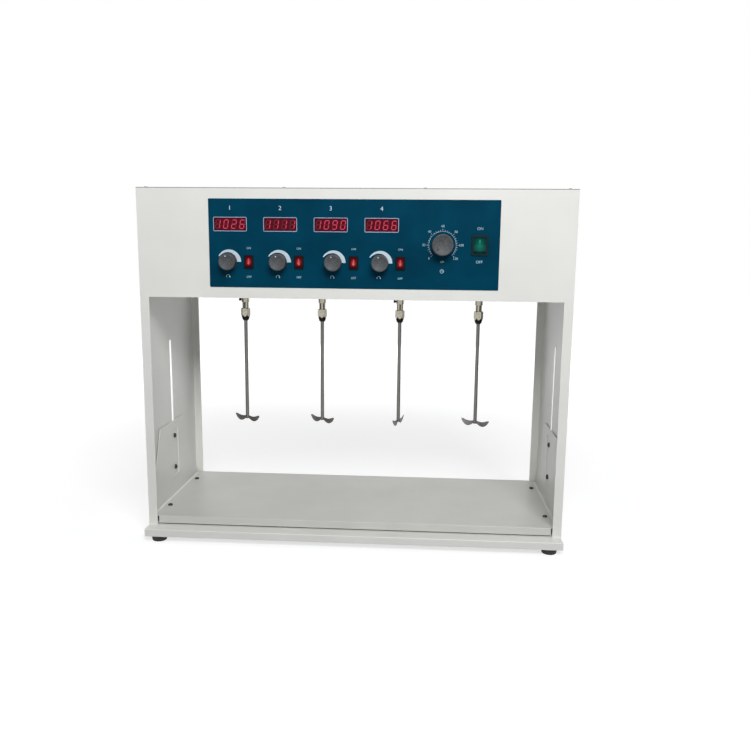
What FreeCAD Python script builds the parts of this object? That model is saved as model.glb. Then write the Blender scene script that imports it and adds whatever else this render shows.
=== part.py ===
import FreeCAD
import Part
import math
import os

# Four-station jar tester: a sheet-metal frame on feet, a header box with motors and controls,
# four hanging stirrers and a height-adjustable tray.
# Millimetres. +X is the right end, -Y is the front, +Z is up.
# The origin lies on the bench, midway between the ends and between front and rear.

V = FreeCAD.Vector

# A cutting tool reaches this far past the face that it opens, and edges count as alike within this
over = 1.0
near = 0.01

# Frame
case_width = 680.0
case_depth = 260.0
header_height = 169.5
post_height = 378.5
sheet = 1.2
cover_sheet = 1.2
post_flange = 14.5
edge_radius = 0.9
top_return = 18.0
foot_flange = 20.0
foot_flange_end_gap = 10.0
post_screw_share = 0.7

# Base pan and feet
foot_height = 10.0
foot_top_radius = 13.5
foot_bottom_radius = 11.5
foot_edge_radius = 1.5
foot_recess_radius = 4.6
foot_web = 4.5
foot_inset_x = 20.0
foot_inset_y = 15.0
pan_height = 12.5
pan_overhang_front = 24.0
pan_end_inset = 0.5
pan_return = 36.0
pan_radius = 1.5

# Tray and its brackets
tray_gap = 2.0
tray_lip = 12.5
tray_setback = 2.0
tray_flange_gap = 2.2
tray_end_gap = 7.8
tray_radius = 1.4
bracket_foot_reach = 29.0
bracket_end_gap = 6.0
bracket_height = 134.0
bracket_straight = 12.0
bracket_top_front = 72.0
bracket_top_rear = 50.0
pad_depth = 1.0
pad_width = 36.0
pad_margin = 15.5
pad_corner_radius = 5.0
slide_gap = 0.3
lower_bolt_height = 47.0
bolt_spacing = 58.4
slot_length = 240.0
slot_clearance = 0.3
guide_radius = 5.2
tray_screw_inset = 18.0
tray_screw_spacing = 152.0

# Header floor and motors
floor_sheet = 1.5
floor_flange = 15.0
station_pitch = 135.7
station_shift = 2.0
motor_radius = 28.0
motor_height = 82.0
motor_boss_radius = 9.0
motor_edge_radius = 2.0
motor_screw_circle = 42.0
motor_shaft_length = 62.0
shaft_radius = 4.0
shaft_edge = 0.5
seat_clearance = 0.1
run_clearance = 0.05

# Chuck, clamp nut, rod and paddle
chuck_drop = 1.5
collar_radius = 6.6
collar_height = 13.2
socket_depth = 11.0
socket_web = 1.5
turned_edge = 0.6
neck_radius = 5.4
neck_height = 9.8
flute_radius = 1.3
flute_count = 6
thread_radius = 4.8
nut_gap = 0.3
nut_height = 20.8
nut_across_flats = 14.0
nut_cone_height = 9.5
nut_edge_radius = 2.2
nut_nose_radius = 5.3
nut_lip = 7.8
jaw_radius = 3.85
jaw_reach = 1.5
jaw_slot = 0.8
jaw_slot_length = 16.0
clamp_screw_radius = 1.5
clamp_head_radius = 2.3
clamp_head_length = 3.4
clamp_head_gap = 1.0
clamp_screw_drop = 8.5
rod_radius = 3.0
rod_length = 208.5
rod_top_gap = 0.5
rod_slot_depth = 7.5
blade_thickness = 1.2
paddle_radius = 26.0
blade_root_height = 5.2
blade_mid_chord = 9.0
blade_droop = 3.6
blade_rise = 3.4
blade_pitch = 12.0
blade_root_radius = 3.6
blade_fullness = 1.0
blade_tip_start = 0.85
blade_tip_taper = 0.5
blade_steps = 8

# Control overlay and what is set out on it
overlay_width = 450.0
overlay_height = 136.0
overlay_thickness = 0.5
overlay_radius = 1.5
overlay_shift = -1.0
display_pitch = 78.6
first_display = -191.3
display_rise = 29.2
display_width = 50.3
display_height = 19.0
display_depth = 12.0
display_recess = 0.2
display_flange = 5.0
display_flange_thickness = 1.6
control_drop = 28.4
knob_offset = -2.4
switch_offset = 28.8
third_station_shift = 6.8
fourth_station_shift = 0.6
timer_offset = 138.0
main_switch_offset = 194.6
cutout_gap = 0.15

# Knobs, potentiometers and timer
knob_gap = 1.2
knob_radius = 13.0
knob_length = 15.0
timer_knob_radius = 16.3
timer_knob_length = 16.8
knob_edge_radius = 1.0
knob_recess_depth = 4.2
knob_recess_wall = 3.4
knob_shaft_radius = 3.0
knob_bore_depth = 11.0
knob_dish_wall = 2.2
knob_dish_depth = 0.5
pot_width = 16.5
pot_depth = 9.0
pot_bush_radius = 3.5
pot_nut_flats = 10.0
timer_width = 56.0
timer_depth = 42.0
timer_edge_radius = 4.0
timer_bush_radius = 5.0
timer_nut_flats = 14.0
panel_nut_thickness = 2.0
bush_thread_over = 0.9

# Rocker switches: small ones for the stations, one large for the mains
small_bezel_width = 15.0
small_bezel_height = 21.0
small_rocker_width = 10.0
small_rocker_radius = 8.2
small_rocker_front = 3.5
main_bezel_width = 25.5
main_bezel_height = 31.0
main_rocker_width = 18.6
main_rocker_radius = 11.6
main_rocker_front = 4.6
bezel_thickness = 1.8
bezel_edge = 1.1
bezel_round = 0.8
rocker_gap = 0.3
rocker_sink = 0.3
rocker_rear = 3.0
rocker_rear_gap = 0.5
rocker_half_throw = 10.0
rocker_pin_radius = 1.0
rocker_pin_length = 1.0
switch_body_depth = 14.0

# Control board, transformer and power inlet
board_length = 180.0
board_depth = 64.0
board_thickness = 1.6
board_pillar = 8.0
board_pillar_radius = 3.0
board_centre = -60.0
heat_sink_count = 4
heat_sink_height = 26.0
heat_sink_depth = 12.0
capacitor_count = 2
capacitor_radius = 8.0
capacitor_height = 30.0
capacitor_inset = 14.0
terminal_end_gap = 20.0
terminal_inset = 4.0
terminal_depth = 10.0
terminal_height = 11.0
transformer_centre = 130.0
transformer_length = 62.0
transformer_core_depth = 34.0
transformer_height = 52.0
transformer_coil_depth = 52.0
transformer_coil_length = 40.0
transformer_coil_height = 34.7
transformer_coil_radius = 4.0
inlet_end_gap = 90.0
inlet_rise = 40.0
inlet_flange_width = 30.0
inlet_flange_height = 48.0
inlet_flange_thickness = 2.5
inlet_body_width = 27.0
inlet_body_height = 44.0
inlet_body_depth = 22.0
inlet_edge_radius = 1.0
inlet_socket_width = 22.6
inlet_socket_height = 15.8
inlet_socket_depth = 16.0
inlet_socket_drop = 10.5
inlet_pin_length = 14.0
inlet_pin_width = 2.0
inlet_pin_height = 4.0
inlet_pin_spread = 7.0
inlet_pin_drop = 2.0
inlet_earth_rise = 2.5
fuse_drawer_width = 21.0
fuse_drawer_height = 13.0
fuse_drawer_rise = 13.0
fuse_drawer_relief = 1.2
vent_count = 8
vent_pitch = 9.0
vent_length = 40.0
vent_width = 3.6
vent_offset = 135.0

# Fasteners; shares are of the head's radius or height
head_round_share = 0.6
cross_arm_share = 0.55
cross_groove_share = 0.22
head_floor_share = 0.45
bolt_head_round_share = 0.7
bolt_socket_share = 0.76
m4_head_radius = 4.0
m4_head_height = 2.6
m4_radius = 2.0
base_screw_length = 10.0
tray_screw_length = 8.0
motor_screw_length = 9.0
screw_clearance = 0.15
cover_head_radius = 2.8
cover_head_height = 2.0
cover_screw_radius = 1.5
cover_screw_length = 7.0
cover_screw_inset = 12.0
cover_screw_count = 4
bolt_radius = 2.5
bolt_head_radius = 4.25
bolt_head_height = 3.0
bolt_nut_flats = 8.0
bolt_nut_height = 6.0
bolt_nut_flange_radius = 8.0
bolt_nut_flange_height = 1.5
bolt_thread_over = 1.5

# Places that follow from the sizes above
half_width = case_width / 2
half_depth = case_depth / 2
inner_x = half_width - sheet
inner_y = half_depth - sheet
inlet_x = half_width - inlet_end_gap
front_y = -half_depth
z_pan_bottom = foot_height
z_pan_top = z_pan_bottom + pan_height
z_header = z_pan_top + post_height
z_top = z_header + header_height
z_under_cover = z_top - cover_sheet
z_floor = z_header + floor_sheet
z_overlay = z_header + header_height / 2
pan_half_x = half_width - pan_end_inset
pan_half_y = half_depth + pan_overhang_front
z_tray = z_pan_top + tray_gap + tray_lip
overlay_y = front_y - overlay_thickness
z_lower_bolt = z_tray + lower_bolt_height
z_upper_bolt = z_lower_bolt + bolt_spacing
z_chuck = z_header - chuck_drop
z_neck = z_chuck - collar_height
z_thread = z_neck - neck_height
z_nut_bottom = z_thread - nut_gap - nut_height
z_socket = z_chuck - socket_depth
z_rod_top = z_socket - socket_web - rod_top_gap
z_rod_bottom = z_rod_top - rod_length
z_display = z_overlay + display_rise
z_control = z_overlay - control_drop
knob_back = overlay_y - knob_gap
pot_back = front_y + sheet + pot_depth
stations = [1, 2, 3, 4]
paddle_turn = {1: -24.5, 2: -32.0, 3: 70.0, 4: -28.0}
clamp_screw_turn = {1: 180.0, 2: 95.0, 3: 184.0, 4: 80.0}
late_shift = {1: 0.0, 2: 0.0, 3: third_station_shift, 4: fourth_station_shift}


def spindle_x(station):
    return station_shift + (station - 2.5) * station_pitch


def display_x(station):
    return overlay_shift + first_display + (station - 1) * display_pitch


def knob_x(station):
    return display_x(station) + knob_offset + late_shift[station]


def switch_x(station):
    return display_x(station) + switch_offset + late_shift[station]


timer_x = overlay_shift + timer_offset
main_switch_x = overlay_shift + main_switch_offset


# Basic solids

def box(x0, x1, y0, y1, z0, z1):
    return Part.makeBox(x1 - x0, y1 - y0, z1 - z0, V(x0, y0, z0))


def plate_box(x, z, width, height, y0, y1):
    """A block centred on (x, z) that reaches from y0 back to y1."""
    return box(x - width / 2, x + width / 2, y0, y1, z - height / 2, z + height / 2)


def post(radius, z0, z1, x=0.0, y=0.0):
    return Part.makeCylinder(radius, z1 - z0, V(x, y, z0), V(0, 0, 1))


def pin_y(radius, y0, y1, x, z):
    return Part.makeCylinder(radius, y1 - y0, V(x, y0, z), V(0, 1, 0))


def pin_x(radius, x0, x1, y, z):
    return Part.makeCylinder(radius, x1 - x0, V(x0, y, z), V(1, 0, 0))


def hexagon(flats, height):
    """A hexagonal prism on the Z axis, standing on z = 0."""
    corner = flats / 2 / math.cos(math.pi / 6)
    turns = [math.pi / 3 * k for k in range(7)]
    ring = Part.makePolygon([V(corner * math.cos(t), corner * math.sin(t), 0) for t in turns])
    return Part.Face(ring).extrude(V(0, 0, height))


def fuse(shapes):
    return shapes[0].multiFuse(shapes[1:]).removeSplitter()


def cut(shape, tools):
    return shape.cut(Part.makeCompound(tools))


def round_edges(shape, radius, wanted):
    """Round the edges for which wanted(centre, length along X, Y, Z) is true."""
    chosen = []
    for edge in shape.Edges:
        size = edge.BoundBox
        centre = size.Center
        if wanted(centre, size.XLength, size.YLength, size.ZLength):
            chosen.append(edge)
    return shape.makeFillet(radius, chosen)


def at(shape, x, y, z):
    moved = shape.copy()
    moved.translate(V(x, y, z))
    return moved


def turned(shape, angle, axis, centre=V(0, 0, 0)):
    copy = shape.copy()
    copy.rotate(centre, axis, angle)
    return copy


def mirrored_x(shape):
    return shape.mirror(V(0, 0, 0), V(1, 0, 0))


def save(name, shapes):
    """Write one node; several separate solids go in as a group."""
    shape = shapes[0] if len(shapes) == 1 else Part.makeCompound(shapes)
    for solid in shapes:
        if not solid.isValid():
            print("not valid:", name)
        if len(solid.Solids) != 1:
            print("solids in one piece of", name, ":", len(solid.Solids))
    shape.exportStep("parts/" + name + ".step")


# Fasteners, each made with its head on top of z = 0 and its shank below

def pan_screw(head_radius, head_height, radius, length):
    head = post(head_radius, 0, head_height)
    head = round_edges(head, head_height * head_round_share,
                       lambda c, x, y, z: c.z > head_height / 2 and z < near)
    arm = head_radius * cross_arm_share
    groove = head_radius * cross_groove_share
    floor = head_height * head_floor_share
    cross = [box(-arm, arm, -groove / 2, groove / 2, floor, head_height)]
    cross.append(box(-groove / 2, groove / 2, -arm, arm, floor, head_height))
    return fuse([cut(head, cross), post(radius, -length, 0)])


def m4_screw(length):
    return pan_screw(m4_head_radius, m4_head_height, m4_radius, length)


def flange_nut():
    """A nut with its washer flange on z = 0 and a shoulder below, which runs in the slot."""
    shoulder = slide_gap + sheet + slide_gap
    body = fuse([post(bolt_nut_flange_radius, 0, bolt_nut_flange_height),
                 post(guide_radius, -shoulder, 0), hexagon(bolt_nut_flats, bolt_nut_height)])
    return cut(body, [post(bolt_radius + run_clearance, -shoulder - over, bolt_nut_height + over)])


# Base pan and feet

def foot_places():
    x = pan_half_x - foot_inset_x
    y = pan_half_y - foot_inset_y
    return [(x, -y), (-x, -y), (x, y), (-x, y)]


def base_post_screw_places():
    x = inner_x - foot_flange / 2
    reach = (inner_y - foot_flange_end_gap) * post_screw_share
    return [(side * x, y) for side in (-1, 1) for y in (-reach, 0, reach)]


def base_pan():
    outer = box(-pan_half_x, pan_half_x, -pan_half_y, pan_half_y, z_pan_bottom, z_pan_top)
    outer = round_edges(outer, pan_radius,
                        lambda c, x, y, z: z > sheet or c.z > z_pan_top - near)
    inside = box(-pan_half_x + sheet, pan_half_x - sheet, -pan_half_y + sheet, pan_half_y - sheet,
                 z_pan_bottom + sheet, z_pan_top - sheet)
    hatch = box(-pan_half_x + pan_return, pan_half_x - pan_return,
                -pan_half_y + pan_return, pan_half_y - pan_return,
                z_pan_bottom - over, z_pan_bottom + sheet + over)
    hole = m4_radius + screw_clearance
    holes = [post(hole, z_pan_bottom - over, z_pan_bottom + sheet + over, x, y) for x, y in foot_places()]
    for x, y in base_post_screw_places():
        holes.append(post(hole, z_pan_top - sheet - over, z_pan_top + over, x, y))
    return cut(outer, [inside, hatch] + holes)


def foot():
    cone = Part.makeCone(foot_bottom_radius, foot_top_radius, foot_height)
    cone = round_edges(cone, foot_edge_radius, lambda c, x, y, z: c.z < near and z < near)
    recess = post(foot_recess_radius, -over, foot_height - foot_web)
    return cut(cone, [recess, post(m4_radius + screw_clearance, 0, foot_height + over)])


def base_screws():
    """Screws that point up: four hold the feet, six hold the posts."""
    screw = turned(m4_screw(base_screw_length), 180, V(1, 0, 0))
    in_feet = [at(screw, x, y, foot_height - foot_web) for x, y in foot_places()]
    in_posts = [at(screw, x, y, z_pan_top - sheet) for x, y in base_post_screw_places()]
    return in_feet + in_posts


# Frame sheets

def cover_screw_x():
    reach = half_width - cover_screw_inset
    step = 2 * reach / (cover_screw_count - 1)
    return [-reach + k * step for k in range(cover_screw_count)]


def portal():
    """The front sheet: header face, two post flanges below it, and the top return."""
    face = box(-half_width, half_width, front_y, -inner_y, z_header, z_under_cover)
    legs = [box(-half_width, -half_width + post_flange, front_y, -inner_y, z_pan_top, z_header),
            box(half_width - post_flange, half_width, front_y, -inner_y, z_pan_top, z_header)]
    plate = fuse([face] + legs)
    plate = round_edges(plate, edge_radius, lambda c, x, y, z: z > post_height
                        and c.y < front_y + near and abs(c.x) > half_width - near)
    lip = box(-inner_x, inner_x, -inner_y, front_y + top_return, z_under_cover - sheet, z_under_cover)
    body = fuse([plate, lip])
    hole = cover_screw_radius + screw_clearance
    holes = [post(hole, z_under_cover - sheet - over, z_under_cover + over, x, front_y + cover_screw_inset)
             for x in cover_screw_x()]
    return cut(body, holes)


def switch_cutouts(y0, y1):
    small_x = small_bezel_width - 2 * bezel_edge + 2 * cutout_gap
    small_z = small_bezel_height - 2 * bezel_edge + 2 * cutout_gap
    main_x = main_bezel_width - 2 * bezel_edge + 2 * cutout_gap
    main_z = main_bezel_height - 2 * bezel_edge + 2 * cutout_gap
    cuts = [plate_box(switch_x(n), z_control, small_x, small_z, y0, y1) for n in stations]
    cuts.append(plate_box(main_switch_x, z_overlay, main_x, main_z, y0, y1))
    return cuts


def panel_cutouts(y0, y1):
    """Openings that the front sheet and the overlay share."""
    wide = display_width + 2 * cutout_gap
    high = display_height + 2 * cutout_gap
    cuts = switch_cutouts(y0, y1)
    for n in stations:
        cuts.append(plate_box(display_x(n), z_display, wide, high, y0, y1))
        cuts.append(pin_y(pot_bush_radius + seat_clearance, y0, y1, knob_x(n), z_control))
    cuts.append(pin_y(timer_bush_radius + seat_clearance, y0, y1, timer_x, z_overlay))
    return cuts


def front_panel():
    return cut(portal(), panel_cutouts(front_y - over, -inner_y + over))


def inlet_z():
    return z_header + inlet_rise


def rear_panel():
    """The rear sheet: the front sheet's outline with vents and the inlet's cutout."""
    body = turned(portal(), 180, V(0, 0, 1))
    y0 = inner_y - over
    y1 = half_depth + over
    cuts = [plate_box(inlet_x, inlet_z(), inlet_body_width + 2 * cutout_gap,
                      inlet_body_height + 2 * cutout_gap, y0, y1)]
    for side in (-1, 1):
        for k in range(vent_count):
            z = z_overlay + (k - (vent_count - 1) / 2) * vent_pitch
            cuts.append(plate_box(side * vent_offset, z, vent_length, vent_width, y0, y1))
    return cut(body, cuts)


def right_side_panel():
    wall = box(inner_x, half_width, -inner_y, inner_y, z_pan_top, z_under_cover)
    reach = inner_y - foot_flange_end_gap
    foot_tab = box(inner_x - foot_flange, inner_x, -reach, reach, z_pan_top, z_pan_top + sheet)
    half_slot = guide_radius + slot_clearance
    low = z_lower_bolt - slot_clearance
    high = z_lower_bolt - half_slot - slot_clearance + slot_length - half_slot
    x0 = inner_x - over
    x1 = half_width + over
    slot = [box(x0, x1, -half_slot, half_slot, low, high),
            pin_x(half_slot, x0, x1, 0, low),
            pin_x(half_slot, x0, x1, 0, high)]
    hole = m4_radius + screw_clearance
    holes = [post(hole, z_pan_top - over, z_pan_top + sheet + over, x, y)
             for x, y in base_post_screw_places() if x > 0]
    return cut(fuse([wall, foot_tab]), slot + holes)


def motor_screw_places(station):
    radius = motor_screw_circle / 2
    turns = [math.radians(45 + 90 * k) for k in range(4)]
    x = spindle_x(station)
    return [(x + radius * math.cos(t), radius * math.sin(t)) for t in turns]


def board_pillar_places():
    x = board_length / 2 - 2 * board_pillar_radius
    y = board_depth / 2 - 2 * board_pillar_radius
    yc = board_y()
    return [(board_centre + sx * x, yc + sy * y) for sx in (-1, 1) for sy in (-1, 1)]


def board_y():
    """Midway between the motors and the rear sheet."""
    return (motor_radius + inner_y) / 2


def header_floor():
    outer = box(-inner_x, inner_x, -inner_y, inner_y, z_header, z_header + floor_flange)
    inside = box(-inner_x + floor_sheet, inner_x - floor_sheet, -inner_y + floor_sheet,
                 inner_y - floor_sheet, z_floor, z_header + floor_flange + over)
    pan = cut(outer, [inside])
    pillars = [post(board_pillar_radius, z_floor, z_floor + board_pillar, x, y)
               for x, y in board_pillar_places()]
    holes = []
    for n in stations:
        holes.append(post(motor_boss_radius + seat_clearance, z_header - over, z_floor + over,
                          spindle_x(n)))
        for x, y in motor_screw_places(n):
            holes.append(post(m4_radius + screw_clearance, z_header - over, z_floor + over, x, y))
    return cut(fuse([pan] + pillars), holes)


def top_cover():
    plate = box(-half_width, half_width, -half_depth, half_depth, z_under_cover, z_top)
    plate = round_edges(plate, edge_radius, lambda c, x, y, z: z > cover_sheet / 2)
    hole = cover_screw_radius + screw_clearance
    y = half_depth - cover_screw_inset
    holes = [post(hole, z_under_cover - over, z_top + over, x, side * y)
             for x in cover_screw_x() for side in (-1, 1)]
    return cut(plate, holes)


def cover_screws():
    screw = pan_screw(cover_head_radius, cover_head_height, cover_screw_radius, cover_screw_length)
    y = half_depth - cover_screw_inset
    return [at(screw, x, side * y, z_top) for x in cover_screw_x() for side in (-1, 1)]


# Tray, brackets and their bolts

def tray_half_narrow():
    """Between the two post flanges."""
    return half_width - post_flange - tray_flange_gap


def tray_half_wide():
    """Behind the flanges, up to the brackets."""
    return inner_x - tray_end_gap


def tray_screw_places():
    x = half_width - tray_screw_inset
    y = tray_screw_spacing / 2
    return [(sx * x, sy * y) for sx in (-1, 1) for sy in (-1, 1)]


def tray():
    reach = half_depth - tray_setback
    behind_flange = inner_y - tray_flange_gap
    narrow = tray_half_narrow()
    wide = tray_half_wide()
    channel = box(-narrow, narrow, -reach, reach, z_tray - tray_lip, z_tray)
    channel = round_edges(channel, tray_radius,
                          lambda c, x, y, z: c.z > z_tray - near and x > narrow)
    inside = box(-narrow - over, narrow + over, -reach + sheet, reach - sheet,
                 z_tray - tray_lip - over, z_tray - sheet)
    plate = box(-wide, wide, -behind_flange, behind_flange, z_tray - sheet, z_tray)
    body = fuse([cut(channel, [inside]), plate])
    hole = m4_radius + screw_clearance
    holes = [post(hole, z_tray - sheet - over, z_tray + over, x, y) for x, y in tray_screw_places()]
    return cut(body, holes)


def tray_screws():
    screw = m4_screw(tray_screw_length)
    return [at(screw, x, y, z_tray) for x, y in tray_screw_places()]


def bracket_outline(z_low, z_high):
    """The cheek seen from the end: straight at the foot, then drawn in to the top edge."""
    reach = inner_y - bracket_end_gap
    z_bend = z_low + bracket_straight
    corners = [(-reach, z_low), (reach, z_low), (reach, z_bend), (bracket_top_rear, z_high),
               (-bracket_top_front, z_high), (-reach, z_bend), (-reach, z_low)]
    return Part.makePolygon([V(0, y, z) for y, z in corners])


def pad_block(x0, x1, grow):
    """The pressed pad's block, grown by a wall on every edge."""
    low = z_lower_bolt - pad_margin - grow
    high = z_upper_bolt + pad_margin + grow
    half = pad_width / 2 + grow
    block = box(x0, x1, -half, half, low, high)
    return round_edges(block, pad_corner_radius + grow,
                       lambda c, x, y, z: x > near and y < near and z < near)


def right_bracket():
    """An L-shaped cheek: its foot lies under the tray and its pad slides on the side panel."""
    pad_face = inner_x - slide_gap
    outer = pad_face - pad_depth
    inner = outer - sheet
    z_foot = z_tray - sheet
    z_low = z_foot - sheet
    z_high = z_tray + bracket_height
    cheek = Part.Face(bracket_outline(z_low, z_high)).extrude(V(sheet, 0, 0))
    cheek.translate(V(inner, 0, 0))
    reach = inner_y - bracket_end_gap
    foot_plate = box(half_width - bracket_foot_reach - sheet, outer, -reach, reach, z_low, z_foot)
    body = fuse([cheek, foot_plate, pad_block(outer - near, pad_face, 0.0)])
    body = cut(body, [pad_block(inner - over, pad_face - sheet, -sheet / 2)])
    holes = [pin_x(bolt_radius + screw_clearance, inner - over, pad_face + over, 0, z)
             for z in (z_lower_bolt, z_upper_bolt)]
    for x, y in tray_screw_places():
        if x > 0:
            holes.append(post(m4_radius + screw_clearance, z_low - over, z_foot + over, x, y))
    return cut(body, holes)


def bolt():
    """A button-head bolt with a hexagon socket, head on top of z = 0."""
    nut_side = slide_gap + sheet + slide_gap + bolt_nut_height + bolt_thread_over
    head = post(bolt_head_radius, 0, bolt_head_height)
    head = round_edges(head, bolt_head_height * bolt_head_round_share,
                       lambda c, x, y, z: c.z > bolt_head_height / 2 and z < near)
    socket = at(hexagon(bolt_head_radius * bolt_socket_share, bolt_head_height),
                0, 0, bolt_head_height * head_floor_share)
    return fuse([cut(head, [socket]), post(bolt_radius, -sheet - nut_side, 0)])


def bracket_bolts():
    """Heads inside on the pads, shanks out through the slots."""
    face = inner_x - slide_gap - sheet
    right = turned(bolt(), -90, V(0, 1, 0))
    left = turned(bolt(), 90, V(0, 1, 0))
    heights = (z_lower_bolt, z_upper_bolt)
    return [at(right, face, 0, z) for z in heights] + [at(left, -face, 0, z) for z in heights]


def bracket_nuts():
    seat = half_width + slide_gap
    right = turned(flange_nut(), 90, V(0, 1, 0))
    left = turned(flange_nut(), -90, V(0, 1, 0))
    heights = (z_lower_bolt, z_upper_bolt)
    return [at(right, seat, 0, z) for z in heights] + [at(left, -seat, 0, z) for z in heights]


# Motors, spindles and chucks

def motor(station):
    x = spindle_x(station)
    can = post(motor_radius, z_floor, z_floor + motor_height, x)
    can = round_edges(can, motor_edge_radius, lambda c, dx, dy, dz: dz < near and c.z > z_floor + near)
    boss = post(motor_boss_radius, z_header, z_floor, x)
    bore_top = z_socket + motor_shaft_length + over
    bores = [post(shaft_radius + run_clearance, z_header - over, bore_top, x)]
    for sx, sy in motor_screw_places(station):
        bores.append(post(m4_radius + screw_clearance, z_floor - over, z_floor + motor_screw_length,
                          sx, sy))
    return cut(fuse([can, boss]), bores)


def motor_screws():
    screw = turned(m4_screw(motor_screw_length), 180, V(1, 0, 0))
    return [at(screw, x, y, z_header) for n in stations for x, y in motor_screw_places(n)]


def spindle(station):
    """The motor's output shaft, which ends in the chuck's socket."""
    shaft = post(shaft_radius, z_socket, z_socket + motor_shaft_length, spindle_x(station))
    return round_edges(shaft, shaft_edge, lambda c, x, y, z: z < near)


def chuck_body():
    """On the Z axis: collar, fluted neck, threaded stub and slotted jaws."""
    z_stub = z_nut_bottom + nut_lip
    z_jaw = z_nut_bottom - jaw_reach
    collar = post(collar_radius, z_neck, z_chuck)
    collar = round_edges(collar, turned_edge, lambda c, x, y, z: z < near)
    body = fuse([collar, post(neck_radius, z_thread, z_neck), post(thread_radius, z_stub, z_thread),
                 post(jaw_radius, z_jaw, z_stub)])
    cuts = [post(shaft_radius + run_clearance, z_socket, z_chuck + over)]
    cuts.append(post(rod_radius + run_clearance, z_jaw - over, z_socket - socket_web))
    for k in range(flute_count):
        turn = 2 * math.pi * (k + 0.5) / flute_count
        cuts.append(post(flute_radius, z_thread - near, z_neck,
                         neck_radius * math.cos(turn), neck_radius * math.sin(turn)))
    half = jaw_slot / 2
    cuts.append(box(-half, half, -jaw_radius, jaw_radius, z_jaw - over, z_jaw + jaw_slot_length))
    cuts.append(box(-jaw_radius, jaw_radius, -half, half, z_jaw - over, z_jaw + jaw_slot_length))
    z_screw = z_chuck - clamp_screw_drop
    cuts.append(pin_x(clamp_screw_radius + run_clearance, 0, collar_radius + over, 0, z_screw))
    return cut(body, cuts)


def clamp_screw():
    """A socket-head screw through the collar that bears on the shaft."""
    z_screw = z_chuck - clamp_screw_drop
    head_x = collar_radius + clamp_head_gap
    tip = shaft_radius
    shank = pin_x(clamp_screw_radius, tip, head_x, 0, z_screw)
    head = pin_x(clamp_head_radius, head_x, head_x + clamp_head_length, 0, z_screw)
    socket = turned(hexagon(clamp_head_radius, clamp_head_length), 90, V(0, 1, 0))
    socket = at(socket, head_x + clamp_head_length / 2, 0, z_screw)
    return fuse([shank, cut(head, [socket])])


def chuck(station):
    angle = clamp_screw_turn[station]
    pieces = [turned(chuck_body(), angle, V(0, 0, 1)), turned(clamp_screw(), angle, V(0, 0, 1))]
    return [at(piece, spindle_x(station), 0, 0) for piece in pieces]


def chuck_nut(station):
    """A hexagon drawn in to a conical nose, so that the flats end in arches."""
    corner = nut_across_flats / 2 / math.cos(math.pi / 6)
    z_cone = z_nut_bottom + nut_cone_height
    z_nut_top = z_nut_bottom + nut_height
    prism = at(hexagon(nut_across_flats, nut_height), 0, 0, z_nut_bottom)
    nose = Part.makeCone(nut_nose_radius, corner, nut_cone_height, V(0, 0, z_nut_bottom))
    barrel = post(corner, z_cone, z_nut_top)
    barrel = round_edges(barrel, nut_edge_radius, lambda c, x, y, z: z < near and c.z > z_nut_top - near)
    nut = prism.common(fuse([nose, barrel]))
    bores = [post(thread_radius + run_clearance, z_nut_bottom + nut_lip - nut_gap, z_nut_top + over),
             post(jaw_radius + run_clearance, z_nut_bottom - over, z_nut_top)]
    return at(cut(nut, bores), spindle_x(station), 0, 0)


def stirring_rod(station):
    """Chamfered at the top, slotted at the bottom for the paddle's tab."""
    rod = post(rod_radius, z_rod_bottom, z_rod_top)
    rod = round_edges(rod, turned_edge, lambda c, x, y, z: z < near and c.z > z_rod_top - near)
    half = blade_thickness / 2 + run_clearance
    wide = rod_radius + over
    slot = box(-wide, wide, -half, half, z_rod_bottom - over, z_rod_bottom + rod_slot_depth)
    rod = turned(cut(rod, [slot]), paddle_turn[station], V(0, 0, 1))
    return at(rod, spindle_x(station), 0, 0)


def blade_section(reach):
    """The blade's cross-section at a distance from the axis: a thin rectangle, pitched and drooping."""
    share = max(0.0, (reach - blade_root_radius) / (paddle_radius - blade_root_radius))
    swell = math.sin(math.pi * share ** blade_fullness)
    chord = blade_root_height + (blade_mid_chord - blade_root_height) * swell
    if share > blade_tip_start:
        chord *= 1 - blade_tip_taper * (share - blade_tip_start) / (1 - blade_tip_start)
    middle = z_rod_bottom + blade_root_height / 2 - blade_droop * math.sin(math.pi * share)
    middle += blade_rise * share ** 2
    lean = math.radians(blade_pitch) * math.sin(math.pi / 2 * min(1.0, 2 * share))
    up = V(0, -math.sin(lean), math.cos(lean))
    side = V(0, math.cos(lean), math.sin(lean))
    centre = V(reach, 0, middle)
    corners = [centre + up * (chord / 2 * a) + side * (blade_thickness / 2 * b)
               for a, b in ((-1, -1), (1, -1), (1, 1), (-1, 1), (-1, -1))]
    return Part.makePolygon(corners)


def paddle(station):
    """Two equal blades on one tab that fills the slot in the rod's end."""
    span = paddle_radius - blade_root_radius
    reaches = [blade_root_radius + span * k / blade_steps for k in range(blade_steps + 1)]
    blade = Part.makeLoft([blade_section(r) for r in reaches], True, True)
    half = blade_thickness / 2
    tab = box(-blade_root_radius, blade_root_radius, -half, half,
              z_rod_bottom, z_rod_bottom + blade_root_height)
    neck = box(-rod_radius, rod_radius, -half, half, z_rod_bottom, z_rod_bottom + rod_slot_depth)
    body = fuse([tab, neck, blade, turned(blade, 180, V(0, 0, 1))])
    body = turned(body, paddle_turn[station], V(0, 0, 1))
    return at(body, spindle_x(station), 0, 0)


# Control overlay, displays, knobs and switches

def control_overlay():
    film = plate_box(overlay_shift, z_overlay, overlay_width, overlay_height, overlay_y, front_y)
    film = round_edges(film, overlay_radius, lambda c, x, y, z: x < near and z < near)
    return cut(film, panel_cutouts(overlay_y - over, front_y + over))


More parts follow.
